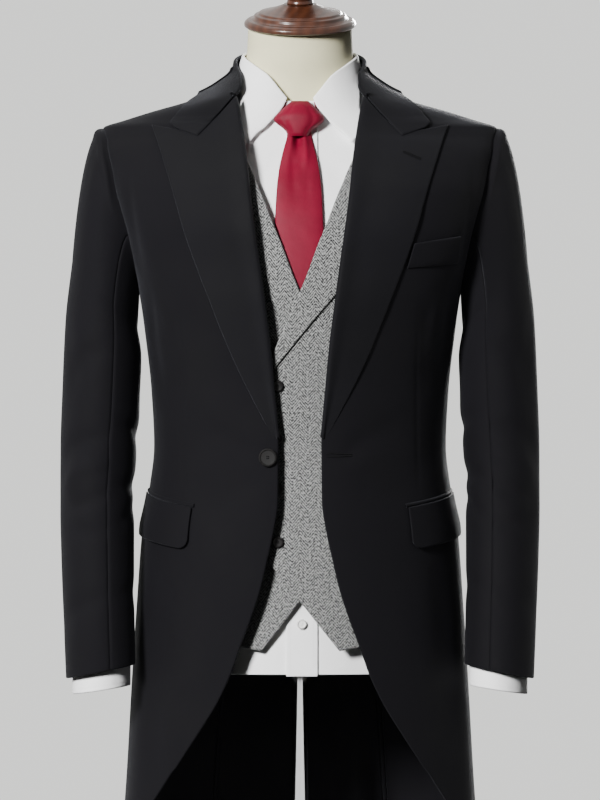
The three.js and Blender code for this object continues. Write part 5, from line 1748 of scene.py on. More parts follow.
@dataclass
class Waistcoat(Garment):
    """The pale grey waistcoat whose left front wraps over the right."""

    kind: ClassVar[str] = "waistcoat"
    slot: ClassVar[str] = "waistcoat_wool"
    wall: ClassVar[float] = CLOTH["waistcoat"]
    bottom: float = 890.0
    top: float = 1456.0
    rest: dict[Side, float] = field(default_factory=lambda: {
        Side.LEFT: OUT["over_front"], Side.RIGHT: OUT["under_front"]
    })

    def out(self, places: Places, front: float) -> Array:
        """Returns how far the cloth stands out at places, for a front's own layer."""
        around = np.minimum(np.abs(places.angle), 360 - np.abs(places.angle))
        body = mix(front, OUT["waistcoat_side"], ease(38, 84, around))
        return mix(body, OUT["waistcoat_shoulder"], ease(1335, 1425, places.z))

    def front(self, side: Side) -> None:
        """Makes one front."""
        rows = WAISTCOAT_FRONT.spread(170, corners=(4, 9))
        start = (figure.angle_at(rows["x"], rows["z"]), rows["z"])
        end = (WAISTCOAT_ARMHOLE.edge(figure, rows["side_z"], True), rows["side_z"])
        places = place_rows(start, end, np.linspace(0, 1, 160))
        places = even_rows(figure, places, spaced(42, 230, 1.2))
        sheet = places.lay(figure, self.out(places, self.rest[side])).creased(WAISTCOAT_CREASES)
        self.add(f"front_{side.value}", sheet.on(side), f"shirt_front_{side.value}")

    def lapel(self, side: Side) -> None:
        """Makes the lapel along one front's neck edge."""
        rows = WAISTCOAT_LAPEL.spread(110)
        start = (figure.angle_at(rows["x"], rows["z"]), rows["z"])
        end = (figure.angle_at(rows["edge_x"], rows["edge_z"]), rows["edge_z"])
        places = place_rows(start, end, spaced(26, 45, 1.0), figure)
        out = self.out(places, self.rest[side]) + LIE_GAP + CLOTH["trim"]
        sheet = rolled(places.lay(figure, out), np.full(len(rows["x"]), 2.0), Edge.FIRST_COLUMN, 7)
        self.add(f"lapel_{side.value}", sheet.on(side), f"waistcoat_front_{side.value}", CLOTH["trim"])

    def back(self) -> None:
        """Makes the back."""
        hole = WAISTCOAT_ARMHOLE
        z = np.concatenate([
            np.linspace(self.bottom, hole.z - hole.rise, 36),
            hole.levels(40)[1:],
            np.linspace(hole.z + hole.rise, self.top, 16)[1:],
        ])
        start = hole.edge(figure, z, False)
        places = spanned(figure, start, 360 - start, z, 200, spaced(52, 420, 1.2))
        sheet = places.lay(figure, self.out(places, OUT["waistcoat_side"]))
        self.add("back", sheet, "shirt_back")


# The tie


@dataclass
class Tie(Garment):
    """The crimson tie: a band under the collar, a knot and the blade below it."""

    kind: ClassVar[str] = "tie"
    slot: ClassVar[str] = "tie_satin"
    wall: ClassVar[float] = CLOTH["tie"]
    band_low: float = -15.0
    band_high: float = -4.0
    knot_top: float = 1450.5
    knot_bottom: float = 1410.0
    dimple_top: float = 1408.0

    def band(self) -> None:
        """Makes the band round the neck."""
        fold = smooth_curve(SHIRT_COLLAR["fold_angle"], SHIRT_COLLAR["fold_z"])
        angle = np.linspace(9, 351, 200)
        near = np.minimum(angle, 360 - angle)
        share, height = share_grids(np.linspace(0, 1, len(angle)), np.linspace(0, 1, 8))
        z = fold(near)[None, :] + mix(self.band_low, self.band_high, height)
        sheet = Places(np.tile(angle, (8, 1)), z, share, height).lay(figure, OUT["band"])
        self.add("band", sheet, "shirt_collar_stand", 1.1, held="laid")

    def blade(self) -> None:
        """Makes the blade, crowned across, with a dimple under the knot."""
        half = BLADE.curve("half")
        z = np.unique(np.append(np.linspace(1110, 1412, 150), [1111, 1112]))
        share, level = share_grids(spaced(34, 50, 0.8), z)
        across = 2 * share - 1
        x = BLADE_X + half(level) * across
        pinch = np.exp(-(((self.dimple_top - level) / 40) ** 2))
        hollow = np.exp(-(((self.dimple_top - level) / 19) ** 2))
        dimple = -5.6 * hollow * np.exp(-(((across + 0.1) / 0.34) ** 2))
        beside = np.exp(-(((across + 0.56) / 0.26) ** 2)) + np.exp(-(((across - 0.42) / 0.24) ** 2))
        ridge = 2.6 * pinch * beside
        crown = 1.6 * (1 - across**2) - 1.4 * np.abs(across) ** 6
        out = OUT["blade"] + crown + dimple + ridge
        sheet = Places(figure.angle_at(x, level), level, share, level).lay(figure, out)
        self.add("blade", sheet.creased(TIE_CREASES), "shirt_placket")

    def knot(self) -> None:
        """Makes the knot: a soft wedge, narrow at its top and foot, with a fold at each side."""
        rings, columns = 64, 96
        share = np.linspace(0, 1, rings)[:, None]
        turn = np.linspace(0, 2 * math.pi, columns, endpoint=False)[None, :]
        z = mix(self.knot_bottom, self.knot_top, share)
        half = smooth_curve(np.array([0, 0.12, 0.21, 0.38, 0.47, 0.54, 0.7, 0.9, 1.0]),
                            np.array([11.8, 14.0, 17.4, 26.2, 28.6, 28.2, 22.6, 14.4, 9.6]))(share)
        depth = smooth_curve(np.array([0, 0.1, 0.35, 0.6, 0.82, 0.94, 1.0]),
                             np.array([9.0, 12.5, 16.0, 17.6, 15.0, 10.0, 6.0]))(share)
        seat = figure.skin(np.zeros(rings), z[:, 0], OUT["collar"] + LIE_GAP)[:, 1][:, None]
        ahead = np.cos(turn)
        across = np.sin(turn)
        reach = np.where(ahead > 0, np.abs(ahead) ** 0.8, 0.12 * ahead)
        lean = 2.2 * (share - 0.5)
        folds = np.exp(-(((across + 0.62 - 0.2 * share) / 0.12) ** 2))
        folds = folds + np.exp(-(((across - 0.58 + 0.1 * share) / 0.14) ** 2))
        fold = 1.3 * folds * np.sin(math.pi * share) ** 0.6 * (ahead > 0)
        x = BLADE_X + lean + half * np.sign(across) * np.abs(across) ** 0.92
        y = seat - depth * 0.12 - (depth - fold) * reach
        points = np.stack([x, y + 0 * x, z + 0 * x], axis=-1)
        caps = np.stack([points[0].mean(axis=0), points[-1].mean(axis=0)])
        every = np.concatenate([points.reshape(-1, 3), caps])
        piece = make_object("tie_knot_cloth", every, tube_faces(rings, columns), self.cloth)
        weave = np.stack([x * 1.25 + 0 * z, z + 0 * x], axis=-1).reshape(-1, 2)
        set_weave(piece, np.concatenate([weave, [[0, self.knot_bottom], [0, self.knot_top]]]))
        finish_hard(piece, "tie_knot")


# Turned pieces: the form's cap, knob, pole and base, and the buttons


@dataclass(frozen=True)
class Turned:
    """A turned solid: radius and height of each point of its profile."""

    profile: tuple[tuple[float, float], ...]
    segments: int = 96

    def mesh(self) -> tuple[Array, list[list[int]]]:
        """Returns the points and faces, standing on the origin along +Z."""
        turn = np.linspace(0, 2 * math.pi, self.segments, endpoint=False)
        inner = [row for row in self.profile if row[0] > 0]
        points = [np.array([0.0, 0.0, self.profile[0][1]])]
        for radius, height in inner:
            ring = np.stack([radius * np.cos(turn), radius * np.sin(turn), 0 * turn + height], axis=-1)
            points += list(ring)
        points.append(np.array([0.0, 0.0, self.profile[-1][1]]))
        faces: list[list[int]] = []
        count = self.segments
        last = len(points) - 1
        for j in range(count):
            k = (j + 1) % count
            faces.append([0, 1 + k, 1 + j])
            for i in range(len(inner) - 1):
                low, high = 1 + i * count, 1 + (i + 1) * count
                faces.append([low + j, low + k, high + k, high + j])
            top = 1 + (len(inner) - 1) * count
            faces.append([last, top + j, top + k])
        return np.array(points), faces


def stand_on(points: Array, seat: Array, direction: Array) -> Array:
    """Returns points turned so that their +Z runs along a direction, then moved to a seat."""
    up = unit(np.asarray(direction, float))
    side = np.array([1.0, 0.0, 0.0]) if abs(up[0]) < 0.9 else np.array([0.0, 1.0, 0.0])
    first = unit(side - up * (side @ up))
    second = np.cross(up, first)
    return points[:, :1] * first + points[:, 1:2] * second + points[:, 2:3] * up + np.asarray(seat, float)


def rounded(corners: Sequence[tuple[float, float, float]], steps: int = 5) -> tuple[tuple[float, float], ...]:
    """Returns a profile with each corner rounded.

    Args:
        corners: Radius, height and rounding radius of each corner.
        steps: Points on each rounding.
    """
    profile: list[tuple[float, float]] = []
    for i, (radius, height, size) in enumerate(corners):
        if size <= 0 or i in (0, len(corners) - 1):
            profile.append((radius, height))
            continue
        here = np.array([radius, height])
        before = np.array(corners[i - 1][:2]) - here
        after = np.array(corners[i + 1][:2]) - here
        start = here + before / np.linalg.norm(before) * size
        end = here + after / np.linalg.norm(after) * size
        for t in np.linspace(0, 1, steps):
            point = start * (1 - t) ** 2 + here * 2 * t * (1 - t) + end * t * t
            profile.append((float(point[0]), float(point[1])))
    return tuple(profile)


@dataclass
class DressForm:
    """The limbless form: padded torso, turned cap and knob, pole and round base."""

    jersey: Material
    wood: Material
    chrome: Material
    steel: Material
    around: int = 96
    bottom: float = 838.0
    neck_top: float = 1538.0
    tilt: float = 12.5
    tilt_from: float = 1506.0
    neck_out: float = -0.4
    cap_swell: float = 1.035
    pole_radius: float = 10.0
    base_radius: float = 190.0
    base_height: float = 22.0
    step_radius: float = 46.0
    step_height: float = 12.0

    def lean(self) -> Array:
        """Returns the direction along the neck."""
        turn = math.radians(self.tilt)
        return np.array([0.0, -math.sin(turn), math.cos(turn)])

    def torso(self) -> None:
        """Makes the torso, closed underneath and tilted forward at the neck's top."""
        foot = [(0.0, 0.55), (0.0, 0.8), (6.0, 0.9), (20.0, 0.98)]
        levels = [(self.bottom + rise, shrink) for rise, shrink in foot]
        levels += [(z, 1.0) for z in np.linspace(self.bottom + 24, self.neck_top, 110)]
        angle = np.linspace(0, 360, self.around, endpoint=False)
        lean = math.tan(math.radians(self.tilt))
        rings = []
        for z, shrink in levels:
            shoulder = ease(1412, 1428, z) * (1 - ease(1430, 1456, z))
            out = mix(mix(OUT["form"], OUT["form_shoulder"], shoulder), self.neck_out, ease(1472, 1500, z))
            ring = figure.skin(angle, np.full(self.around, z), out)
            mid = float(figure.mid(z))
            ahead = ring[:, 1] - mid
            up = ring[:, 2] + ease(self.tilt_from, self.neck_top, z) * lean * ahead
            rings.append(np.stack([ring[:, 0] * shrink, mid + ahead * shrink, up], axis=-1))
        rim = rings[-1]
        middle = rim.mean(axis=0)
        rings.append(middle + (rim - middle) * 0.985 + self.lean() * 0.25)
        points = np.concatenate([*rings, [rings[0].mean(axis=0), middle + self.lean() * 0.25]])
        piece = make_object("form_torso_cover", points, tube_faces(len(rings), self.around), self.jersey)
        finish_hard(piece, "form_torso")

    def cap(self) -> None:
        """Makes the turned cap that closes the neck, and the knob on it."""
        seat = np.array([0.0, float(figure.mid(self.neck_top)), self.neck_top])
        corners = [
            (0, 0, 0), (59, 0, 1), (62, 1.2, 1.2), (62.2, 5.5, 2), (58.6, 8.6, 1), (54, 9.2, 1),
            (51.5, 11.2, 1),
            (51, 14.2, 1.2), (47, 15.2, 1), (45.5, 17.4, 1), (40, 18.6, 2), (30, 21.4, 3), (20, 25.4, 2.5),
            (17.5, 27, 0.6), (0, 27, 0),
        ]
        corners = [(radius * self.cap_swell, height, bend) for radius, height, bend in corners]
        cap_seat = seat + self.lean() * SEAM_GAP
        self.turned("form_neck_cap_wood", Turned(rounded(corners), 128), cap_seat, self.lean(),
                    "form_neck_cap", self.wood, "wood")
        corners = [
            (0, 0, 0), (15, 0, 0.6), (15.4, 1.5, 0.6), (14.4, 4, 1), (16.2, 9, 3), (19.5, 14, 3),
            (25, 21, 5),
            (27.3, 31, 7), (24.8, 43, 7), (15.5, 51.5, 5), (5, 54.3, 2), (0, 54.5, 0),
        ]
        knob_seat = seat + self.lean() * (27 + 2 * SEAM_GAP)
        self.turned("form_neck_knob_wood", Turned(rounded(corners), 96), knob_seat, self.lean(),
                    "form_neck_knob", self.wood, "wood")

    def turned(self, name: str, shape: Turned, seat: Array, direction: Array, node: str,
               material: Material, slot: str) -> None:
        """Makes one turned piece of the form and hides the solid that it stands for."""
        points, faces = shape.mesh()
        piece = make_object(name, stand_on(points, seat, direction), faces, material)
        finish_hard(piece, node)

    def stand(self) -> None:
        """Makes the pole and the weighted base."""
        up = np.array([0.0, 0.0, 1.0])
        radius, height = self.base_radius, self.base_height
        corners = [
            (0, 0, 0), (radius - 1.5, 0, 1), (radius, 2, 1.5), (radius, height - 5, 3.5),
            (radius - 5, height, 3.5), (self.step_radius + 3, height + 1.8, 2),
            (self.step_radius - 2, height + 4, 1.5),
            (self.step_radius - 6, height + self.step_height, 2), (0, height + self.step_height, 0),
        ]
        self.turned("stand_base_plate", Turned(rounded(corners), 160), np.zeros(3), up, "stand_base",
                    self.steel, "base_steel")
        foot = height + self.step_height + SEAM_GAP
        length = self.bottom - SEAM_GAP - foot
        pole = [(0, 0, 0), (self.pole_radius, 0, 0.6), (self.pole_radius, length, 0.6), (0, length, 0)]
        seat = np.array([0.0, float(figure.mid(self.bottom)), foot])
        self.turned("stand_pole_tube", Turned(rounded(pole), 64), seat, up, "stand_pole", self.chrome,
                    "chrome")


@dataclass(frozen=True)
class Button:
    """A round button with a raised rim, a dish and four holes."""

    radius: float
    thickness: float
    holes: float = 0.75
    spread: float = 1.5
    rim: float = 1.7
    dish: float = 0.95

    def profile(self) -> tuple[tuple[float, float], ...]:
        """Returns the turned profile, with the back at 0."""
        radius, top = self.radius, self.thickness
        corners = [
            (0, 0, 0), (radius - 0.9, 0, 0.5), (radius, 0.9, 0.6), (radius, top - 1.1, 0.7),
            (radius - 0.9, top, 0.5), (radius - self.rim, top - 0.25, 0.4),
            (radius - self.rim - 0.9, top - self.dish, 0.5), (0, top - self.dish, 0),
        ]
        return rounded(corners, 4)

    def make(self, name: str, seat: Array, direction: Array, node: str, material: Material,
             slot: str, thread: Material) -> None:
        """Makes one button with its holes and the thread through them.

        Args:
            name: The object's name.
            seat: The middle of its back.
            direction: Which way it faces.
            node: The solid that it stands for.
            material: The finish.
            slot: Not used.
            thread: The finish of the thread.
        """
        points, faces = Turned(self.profile(), 40).mesh()
        floor = self.thickness - self.dish
        hole_points, hole_faces = Turned(((0, 0), (self.holes, 0), (self.holes, 0.06), (0, 0.06)), 14).mesh()
        thread_points, thread_faces = bar(2 * self.spread - self.holes, 0.42)
        reach = self.spread * math.sin(math.radians(45))
        extras = []
        for turn in (45, 135, 225, 315):
            place = self.spread * np.array([math.cos(math.radians(turn)), math.sin(math.radians(turn)), 0])
            extras.append((hole_points + place + [0, 0, floor - 0.02], hole_faces))
        extras += [(thread_points + [0, sign * reach, floor + 0.18], thread_faces) for sign in (-1, 1)]
        parts, every = [stand_on(points, seat, direction)], [list(face) for face in faces]
        count = len(points)
        for extra_points, extra_faces in extras:
            every += [[i + count for i in face] for face in extra_faces]
            parts.append(stand_on(extra_points, seat, direction))
            count += len(extra_points)
        slots = [0] * len(faces) + [1] * (len(every) - len(faces))
        piece = make_object(name, np.concatenate(parts), every, material)
        piece.data.materials.append(thread)
        piece.data.polygons.foreach_set("material_index", slots)
        finish_hard(piece, node)


def bar(length: float, radius: float) -> tuple[Array, list[list[int]]]:
    """Returns a short rounded bar of thread along X."""
    half = length / 2
    rings = [(-half - radius, 0.25), (-half, 1.0), (0.0, 1.12), (half, 1.0), (half + radius, 0.25)]
    turn = np.linspace(0, 2 * math.pi, 8, endpoint=False)
    round_end = [(math.cos(t), math.sin(t)) for t in turn]
    points = [[x, radius * size * y, radius * size * z] for x, size in rings for y, z in round_end]
    faces: list[list[int]] = [list(range(7, -1, -1)), [4 * 8 + j for j in range(8)]]
    for i in range(len(rings) - 1):
        for j in range(8):
            k = (j + 1) % 8
            faces.append([i * 8 + j, i * 8 + k, (i + 1) * 8 + k, (i + 1) * 8 + j])
    return np.array(points), faces


# Stitches and buttonholes


# Nodes of a row of stitches: what each is, its settings and values, and the links between them
STITCH_NODES = {
    "source": "NodeGroupInput", "result": "NodeGroupOutput", "curve": "GeometryNodeMeshToCurve",
    "even": "GeometryNodeResampleCurve", "tangent": "GeometryNodeInputTangent",
    "normal": "GeometryNodeInputNamedAttribute", "first": "FunctionNodeAlignRotationToVector",
    "second": "FunctionNodeAlignRotationToVector", "turn": "FunctionNodeRotateRotation",
    "spin": "FunctionNodeAxisAngleToRotation", "wobble": "FunctionNodeRandomValue",
    "stitch": "GeometryNodeMeshUVSphere", "size": "ShaderNodeCombineXYZ", "wide": "ShaderNodeMath",
    "shaped": "GeometryNodeTransform", "laid": "GeometryNodeInstanceOnPoints",
    "real": "GeometryNodeRealizeInstances", "painted": "GeometryNodeSetMaterial",
}
STITCH_SETTINGS = (
    ("even", "mode", "LENGTH"), ("normal", "data_type", "FLOAT_VECTOR"), ("first", "axis", "X"),
    ("second", "axis", "Z"), ("second", "pivot_axis", "X"), ("turn", "rotation_space", "LOCAL"),
    ("wobble", "data_type", "FLOAT_VECTOR"), ("wide", "operation", "MULTIPLY"),
)
STITCH_VALUES = (
    ("normal", "Name", "out"), ("spin", "Axis", (0, 0, 1)), ("wobble", 0, (0.92, 0.92, 0.92)),
    ("wobble", 1, (1.06, 1.06, 1.06)), ("wobble", "Seed", 7), ("stitch", "Segments", 5),
    ("stitch", "Rings", 4), ("stitch", "Radius", 0.5), ("wide", 1, 2.0),
)
STITCH_LINKS = (
    ("source", "Geometry", "curve", "Mesh"), ("curve", "Curve", "even", "Curve"),
    ("source", "Pitch", "even", "Length"), ("tangent", 0, "first", "Vector"),
    ("first", "Rotation", "second", "Rotation"),
    ("normal", "Attribute", "second", "Vector"), ("source", "Turn", "spin", "Angle"),
    ("second", "Rotation", "turn", "Rotation"), ("spin", "Rotation", "turn", "Rotate By"),
    ("source", "Radius", "wide", 0), ("source", "Length", "size", "X"), ("wide", 0, "size", "Y"),
    ("wide", 0, "size", "Z"), ("stitch", "Mesh", "shaped", "Geometry"), ("size", 0, "shaped", "Scale"),
    ("even", "Curve", "laid", "Points"), ("shaped", "Geometry", "laid", "Instance"),
    ("turn", "Rotation", "laid", "Rotation"), ("wobble", 0, "laid", "Scale"),
    ("laid", "Instances", "real", "Geometry"), ("real", "Geometry", "painted", "Geometry"),
    ("painted", "Geometry", "result", "Geometry"),
)


class Stitches:
    """Rows of stitches along lines on the cloth, made with Geometry Nodes."""

    def __init__(self, thread: Material) -> None:
        """Builds the node tree once.

        Args:
            thread: The finish of the thread.
        """
        self.thread = thread
        self.tree = bpy.data.node_groups.new("stitch_row", "GeometryNodeTree")
        self.sockets: dict[str, str] = {}
        face = self.tree.interface
        face.new_socket("Geometry", in_out="INPUT", socket_type="NodeSocketGeometry")
        for name, value in (("Pitch", 0.0028), ("Length", 0.0020), ("Radius", 0.00022), ("Turn", 0.0)):
            socket = face.new_socket(name, in_out="INPUT", socket_type="NodeSocketFloat")
            socket.default_value = value
            self.sockets[name] = socket.identifier
        face.new_socket("Geometry", in_out="OUTPUT", socket_type="NodeSocketGeometry")
        self.wire()

    def wire(self) -> None:
        """Adds, sets and links the tree's nodes."""
        nodes = {key: self.tree.nodes.new(kind) for key, kind in STITCH_NODES.items()}
        for key, name, value in STITCH_SETTINGS:
            setattr(nodes[key], name, value)
        for key, name, value in STITCH_VALUES:
            nodes[key].inputs[name].default_value = value
        nodes["painted"].inputs["Material"].default_value = self.thread
        for source, output, target, socket in STITCH_LINKS:
            self.tree.links.new(nodes[source].outputs[output], nodes[target].inputs[socket])

    def sew(self, name: str, lines: Sequence[tuple[Array, Array]], pitch: float, length: float,
            radius: float, turn: float = 0.0) -> None:
        """Sews rows of stitches.

        Args:
            name: The object's name.
            lines: The points of each row and the outward directions there, in millimetres.
            pitch: Distance between stitches.
            length: Length of a stitch.
            radius: Half its thickness.
            turn: Degrees that each stitch is turned across its row.
        """
        mesh = bpy.data.meshes.new(name + "_line")
        points = np.concatenate([line for line, _ in lines])
        edges, first = [], 0
        for line, _ in lines:
            edges += [(first + i, first + i + 1) for i in range(len(line) - 1)]
            first += len(line)
        mesh.from_pydata((points * MM).tolist(), edges, [])
        out = mesh.attributes.new("out", "FLOAT_VECTOR", "POINT")
        out.data.foreach_set("vector", np.concatenate([away for _, away in lines]).astype(np.float32).ravel())
        row = bpy.data.objects.new(name + "_row", mesh)
        bpy.context.scene.collection.objects.link(row)
        modifier = row.modifiers.new("stitches", "NODES")
        modifier.node_group = self.tree
        for key, value in (("Pitch", pitch * MM), ("Length", length * MM), ("Radius", radius * MM),
                           ("Turn", math.radians(turn))):
            modifier[self.sockets[key]] = value
        bpy.context.view_layer.update()
        made = bpy.data.meshes.new_from_object(row.evaluated_get(bpy.context.evaluated_depsgraph_get()))
        made.name = name
        made.shade_smooth()
        bpy.data.objects.remove(row)
        piece = bpy.data.objects.new(name, made)
        bpy.context.scene.collection.objects.link(piece)
        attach(piece, "root")
        log.info("%s: %d faces", name, len(made.polygons))


def line_on(sheet: Sheet, row: Array, column: Array, out: float) -> tuple[Array, Array]:
    """Returns a line over a sheet through places of its grid, and the outward directions.

    Args:
        sheet: The cloth.
        row: Rows, whole or in between.
        column: Columns, whole or in between.
        out: How far out of the cloth it lies.
    """
    rows, columns = sheet.across.shape
    low_row = np.clip(np.floor(row).astype(int), 0, rows - 2)
    low_column = np.clip(np.floor(column).astype(int), 0, columns - 2)
    by_row, by_column = (row - low_row)[:, None], (column - low_column)[:, None]
    pair = []
    for grid in (sheet.points, sheet.normals):
        near = mix(grid[low_row, low_column], grid[low_row, low_column + 1], by_column)
        far = mix(grid[low_row + 1, low_column], grid[low_row + 1, low_column + 1], by_column)
        pair.append(mix(near, far, by_row))
    return pair[0] + unit(pair[1]) * out, unit(pair[1])


def inset_line(sheet: Sheet, edge: Edge, inset: float, out: float = 0.12) -> tuple[Array, Array]:
    """Returns a line that runs along an edge of a sheet, and the outward directions.

    Args:
        sheet: The cloth.
        edge: The edge.
        inset: Distance from the edge; the line ends as far from the edges beside it.
        out: How far out of the cloth it lies.
    """
    by_row = edge in ROW_EDGES
    gone = sheet.edge_distance(edge)
    gone = gone.T if by_row else gone
    last = edge in (Edge.LAST_ROW, Edge.LAST_COLUMN)
    order = np.arange(gone.shape[1])
    run = slice(None, None, -1) if last else slice(None)
    found = np.array([np.interp(inset, line[run], order[run]) for line in gone])
    along = np.arange(len(gone), dtype=float)
    row, column = (found, along) if by_row else (along, found)
    beside = COLUMN_EDGES if by_row else ROW_EDGES
    at = (np.clip(np.round(row).astype(int), 0, sheet.up.shape[0] - 1),
          np.clip(np.round(column).astype(int), 0, sheet.up.shape[1] - 1))
    clear = np.minimum(*(sheet.edge_distance(other)[at] for other in beside)) >= inset
    return line_on(sheet, row[clear], column[clear], out)


def body_line(body: Body, places: Array, out: Array | float) -> tuple[Array, Array]:
    """Returns a line on a body through distances from its middle and levels, and the outward directions."""
    angle = body.angle_at(places[:, 0], places[:, 1])
    return body.skin(angle, places[:, 1], out), body.normal(angle, places[:, 1])


def slot_line(start: tuple[float, float], end: tuple[float, float], half: float, eye: float = 0.0) -> Array:
    """Returns the outline of a buttonhole: down one side, round the end and back up the other."""
    start_at, end_at = np.array(start, float), np.array(end, float)
    way = (end_at - start_at) / np.linalg.norm(end_at - start_at)
    aside = np.array([-way[1], way[0]])
    round_to = max(eye, half)
    turn = np.radians(np.linspace(110, -110, 20))
    ring = end_at + round_to * (np.cos(turn)[:, None] * way + np.sin(turn)[:, None] * aside)
    before = np.linspace(start_at + aside * half, ring[0], 16)[:-1]
    after = np.linspace(ring[-1], start_at - aside * half, 16)[1:]
    return np.concatenate([before, ring, after])


# Buttons in their places


@dataclass
class Fastenings:
    """All the buttons and buttonholes of the coat, the waistcoat and the shirt."""

    coat: MorningCoat
    horn: Material
    pearl: Material
    dark_thread: Material
    pale_thread: Material
    coat_button: Button = Button(10.5, 4.0)
    sleeve_button: Button = Button(7.5, 3.2, 0.6, 1.3)
    waistcoat_button: Button = Button(6.6, 3.0, 0.55, 1.2)
    shirt_button: Button = Button(5.7, 2.4, 0.5, 1.1, 1.3)
    front_button: tuple[float, float] = (-35.5, 1043.5)
    back_button: tuple[float, float] = (163.0, 1054.0)
    waistcoat_line: float = -23.5
    waistcoat_levels: tuple[float, ...] = (947.0, 1007.0, 1067.0, 1127.0)
    shirt_place: tuple[float, float] = (2.0, 854.0)
    cuff_turn: float = -97.0
    cuff_levels: tuple[float, ...] = (826.0, 843.0, 860.0)

    def on_body(self, name: str, button: Button, body: Body, place: tuple[float, float], out: float,
                mirrored: bool = False) -> None:
        """Sews a button onto the cloth over a body."""
        angle, z = (np.array(value, float) for value in place)
        flip = np.array([-1.0 if mirrored else 1.0, 1.0, 1.0])
        pearl = "shirt" in name
        material, slot = (self.pearl, "shirt_button") if pearl else (self.horn, "horn_button")
        thread = self.pale_thread if pearl else self.dark_thread
        seat, way = body.skin(angle, z, out) * flip, body.normal(angle, z) * flip
        button.make(name + "_turned", seat, way, name, material, slot, thread)

    def body_buttons(self) -> None:
        """Sews the buttons of the coat's front and back, the waistcoat and the shirt."""
        x, z = self.front_button
        bulge = float(self.coat.bulge_at(np.array(self.coat_button.radius), np.array(z)))
        angle = float(coat.angle_at(x, z))
        self.on_body("coat_button_front", self.coat_button, coat, (angle, z), 1.1 + bulge)
        for side in Side:
            name = f"coat_button_back_{side.value}"
            self.on_body(name, self.coat_button, coat, self.back_button, 1.5, side is Side.RIGHT)
        for i, z in enumerate(self.waistcoat_levels):
            angle = float(figure.angle_at(self.waistcoat_line, z))
            name = f"waistcoat_button_{i + 1}"
            self.on_body(name, self.waistcoat_button, figure, (angle, z), OUT["over_front"] + 0.5)
        x, z = self.shirt_place
        place = (float(figure.angle_at(x, z)), z)
        self.on_body("shirt_button", self.shirt_button, figure, place, OUT["placket"] + 0.9)

    def sleeve_buttons(self) -> None:
        """Sews three buttons at each cuff of the coat."""
        for side in Side:
            flip = np.array([1.0 if side is Side.LEFT else -1.0, 1.0, 1.0])
            for i, level in enumerate(self.cuff_levels):
                around, z = np.array(self.cuff_turn), np.array(level)
                seat = COAT_SLEEVE.tube(around, z)
                across = COAT_SLEEVE.tube(around + 1, z) - COAT_SLEEVE.tube(around - 1, z)
                up = COAT_SLEEVE.tube(around, z + 2) - COAT_SLEEVE.tube(around, z - 2)
                way = unit(np.cross(up, across))
                way = -way if way[1] < 0 else way
                name = f"sleeve_button_{side.value}_{i + 1}"
                back = (seat - 0.1 * way) * flip
                self.sleeve_button.make(name + "_turned", back, way * flip, name, self.horn, "horn_button",
                                        self.dark_thread)

    def buttonholes(self, dark: Stitches) -> None:
        """Works the buttonholes of the coat and the waistcoat."""
        outline = slot_line((58, 1046.5), (32.5, 1046.5), 0.9, 2.1)
        bulge = self.coat.bulge_at(outline[:, 0] - 25, outline[:, 1])
        front = body_line(coat, outline, 0.25 + bulge)
        over_lapel = LAPEL_GAP + CLOTH["lapel"] + 0.3
        lapel = body_line(coat, slot_line((137, 1381.5), (118, 1389.5), 0.9), over_lapel)
        dark.sew("coat_buttonholes", [front, lapel], 0.42, 1.7, 0.26, 90)
        lines = []
        for z in self.waistcoat_levels:
            outline = slot_line((-19.0, z), (-33.0, z), 0.6)
            lines.append(body_line(figure, outline, OUT["over_front"] + 0.15))
        dark.sew("waistcoat_buttonholes", lines, 0.45, 1.4, 0.22, 90)

    def shirt_stitching(self, pale: Stitches, sheets: dict[str, Sheet]) -> None:
        """Sews the edges of the shirt's collar, placket, cuffs and hem."""
        collar = sheets["collar"]
        lines = [inset_line(collar, edge, 5.5) for edge in (Edge.FIRST_ROW, *COLUMN_EDGES)]
        lines += [inset_line(sheets["placket"], edge, 4.5) for edge in COLUMN_EDGES]
        for side in Side:
            lines.append(inset_line(sheets[f"front_{side.value}"], Edge.FIRST_ROW, 4.0))
            cuff = sheets[f"cuff_{side.value}"]
            lines += [inset_line(cuff, edge, 5.0) for edge in (Edge.LAST_ROW, *COLUMN_EDGES)]
        lines.append(inset_line(sheets["back"], Edge.FIRST_ROW, 4.0))
        pale.sew("shirt_stitches", lines, 2.3, 1.7, 0.17)


# The studio


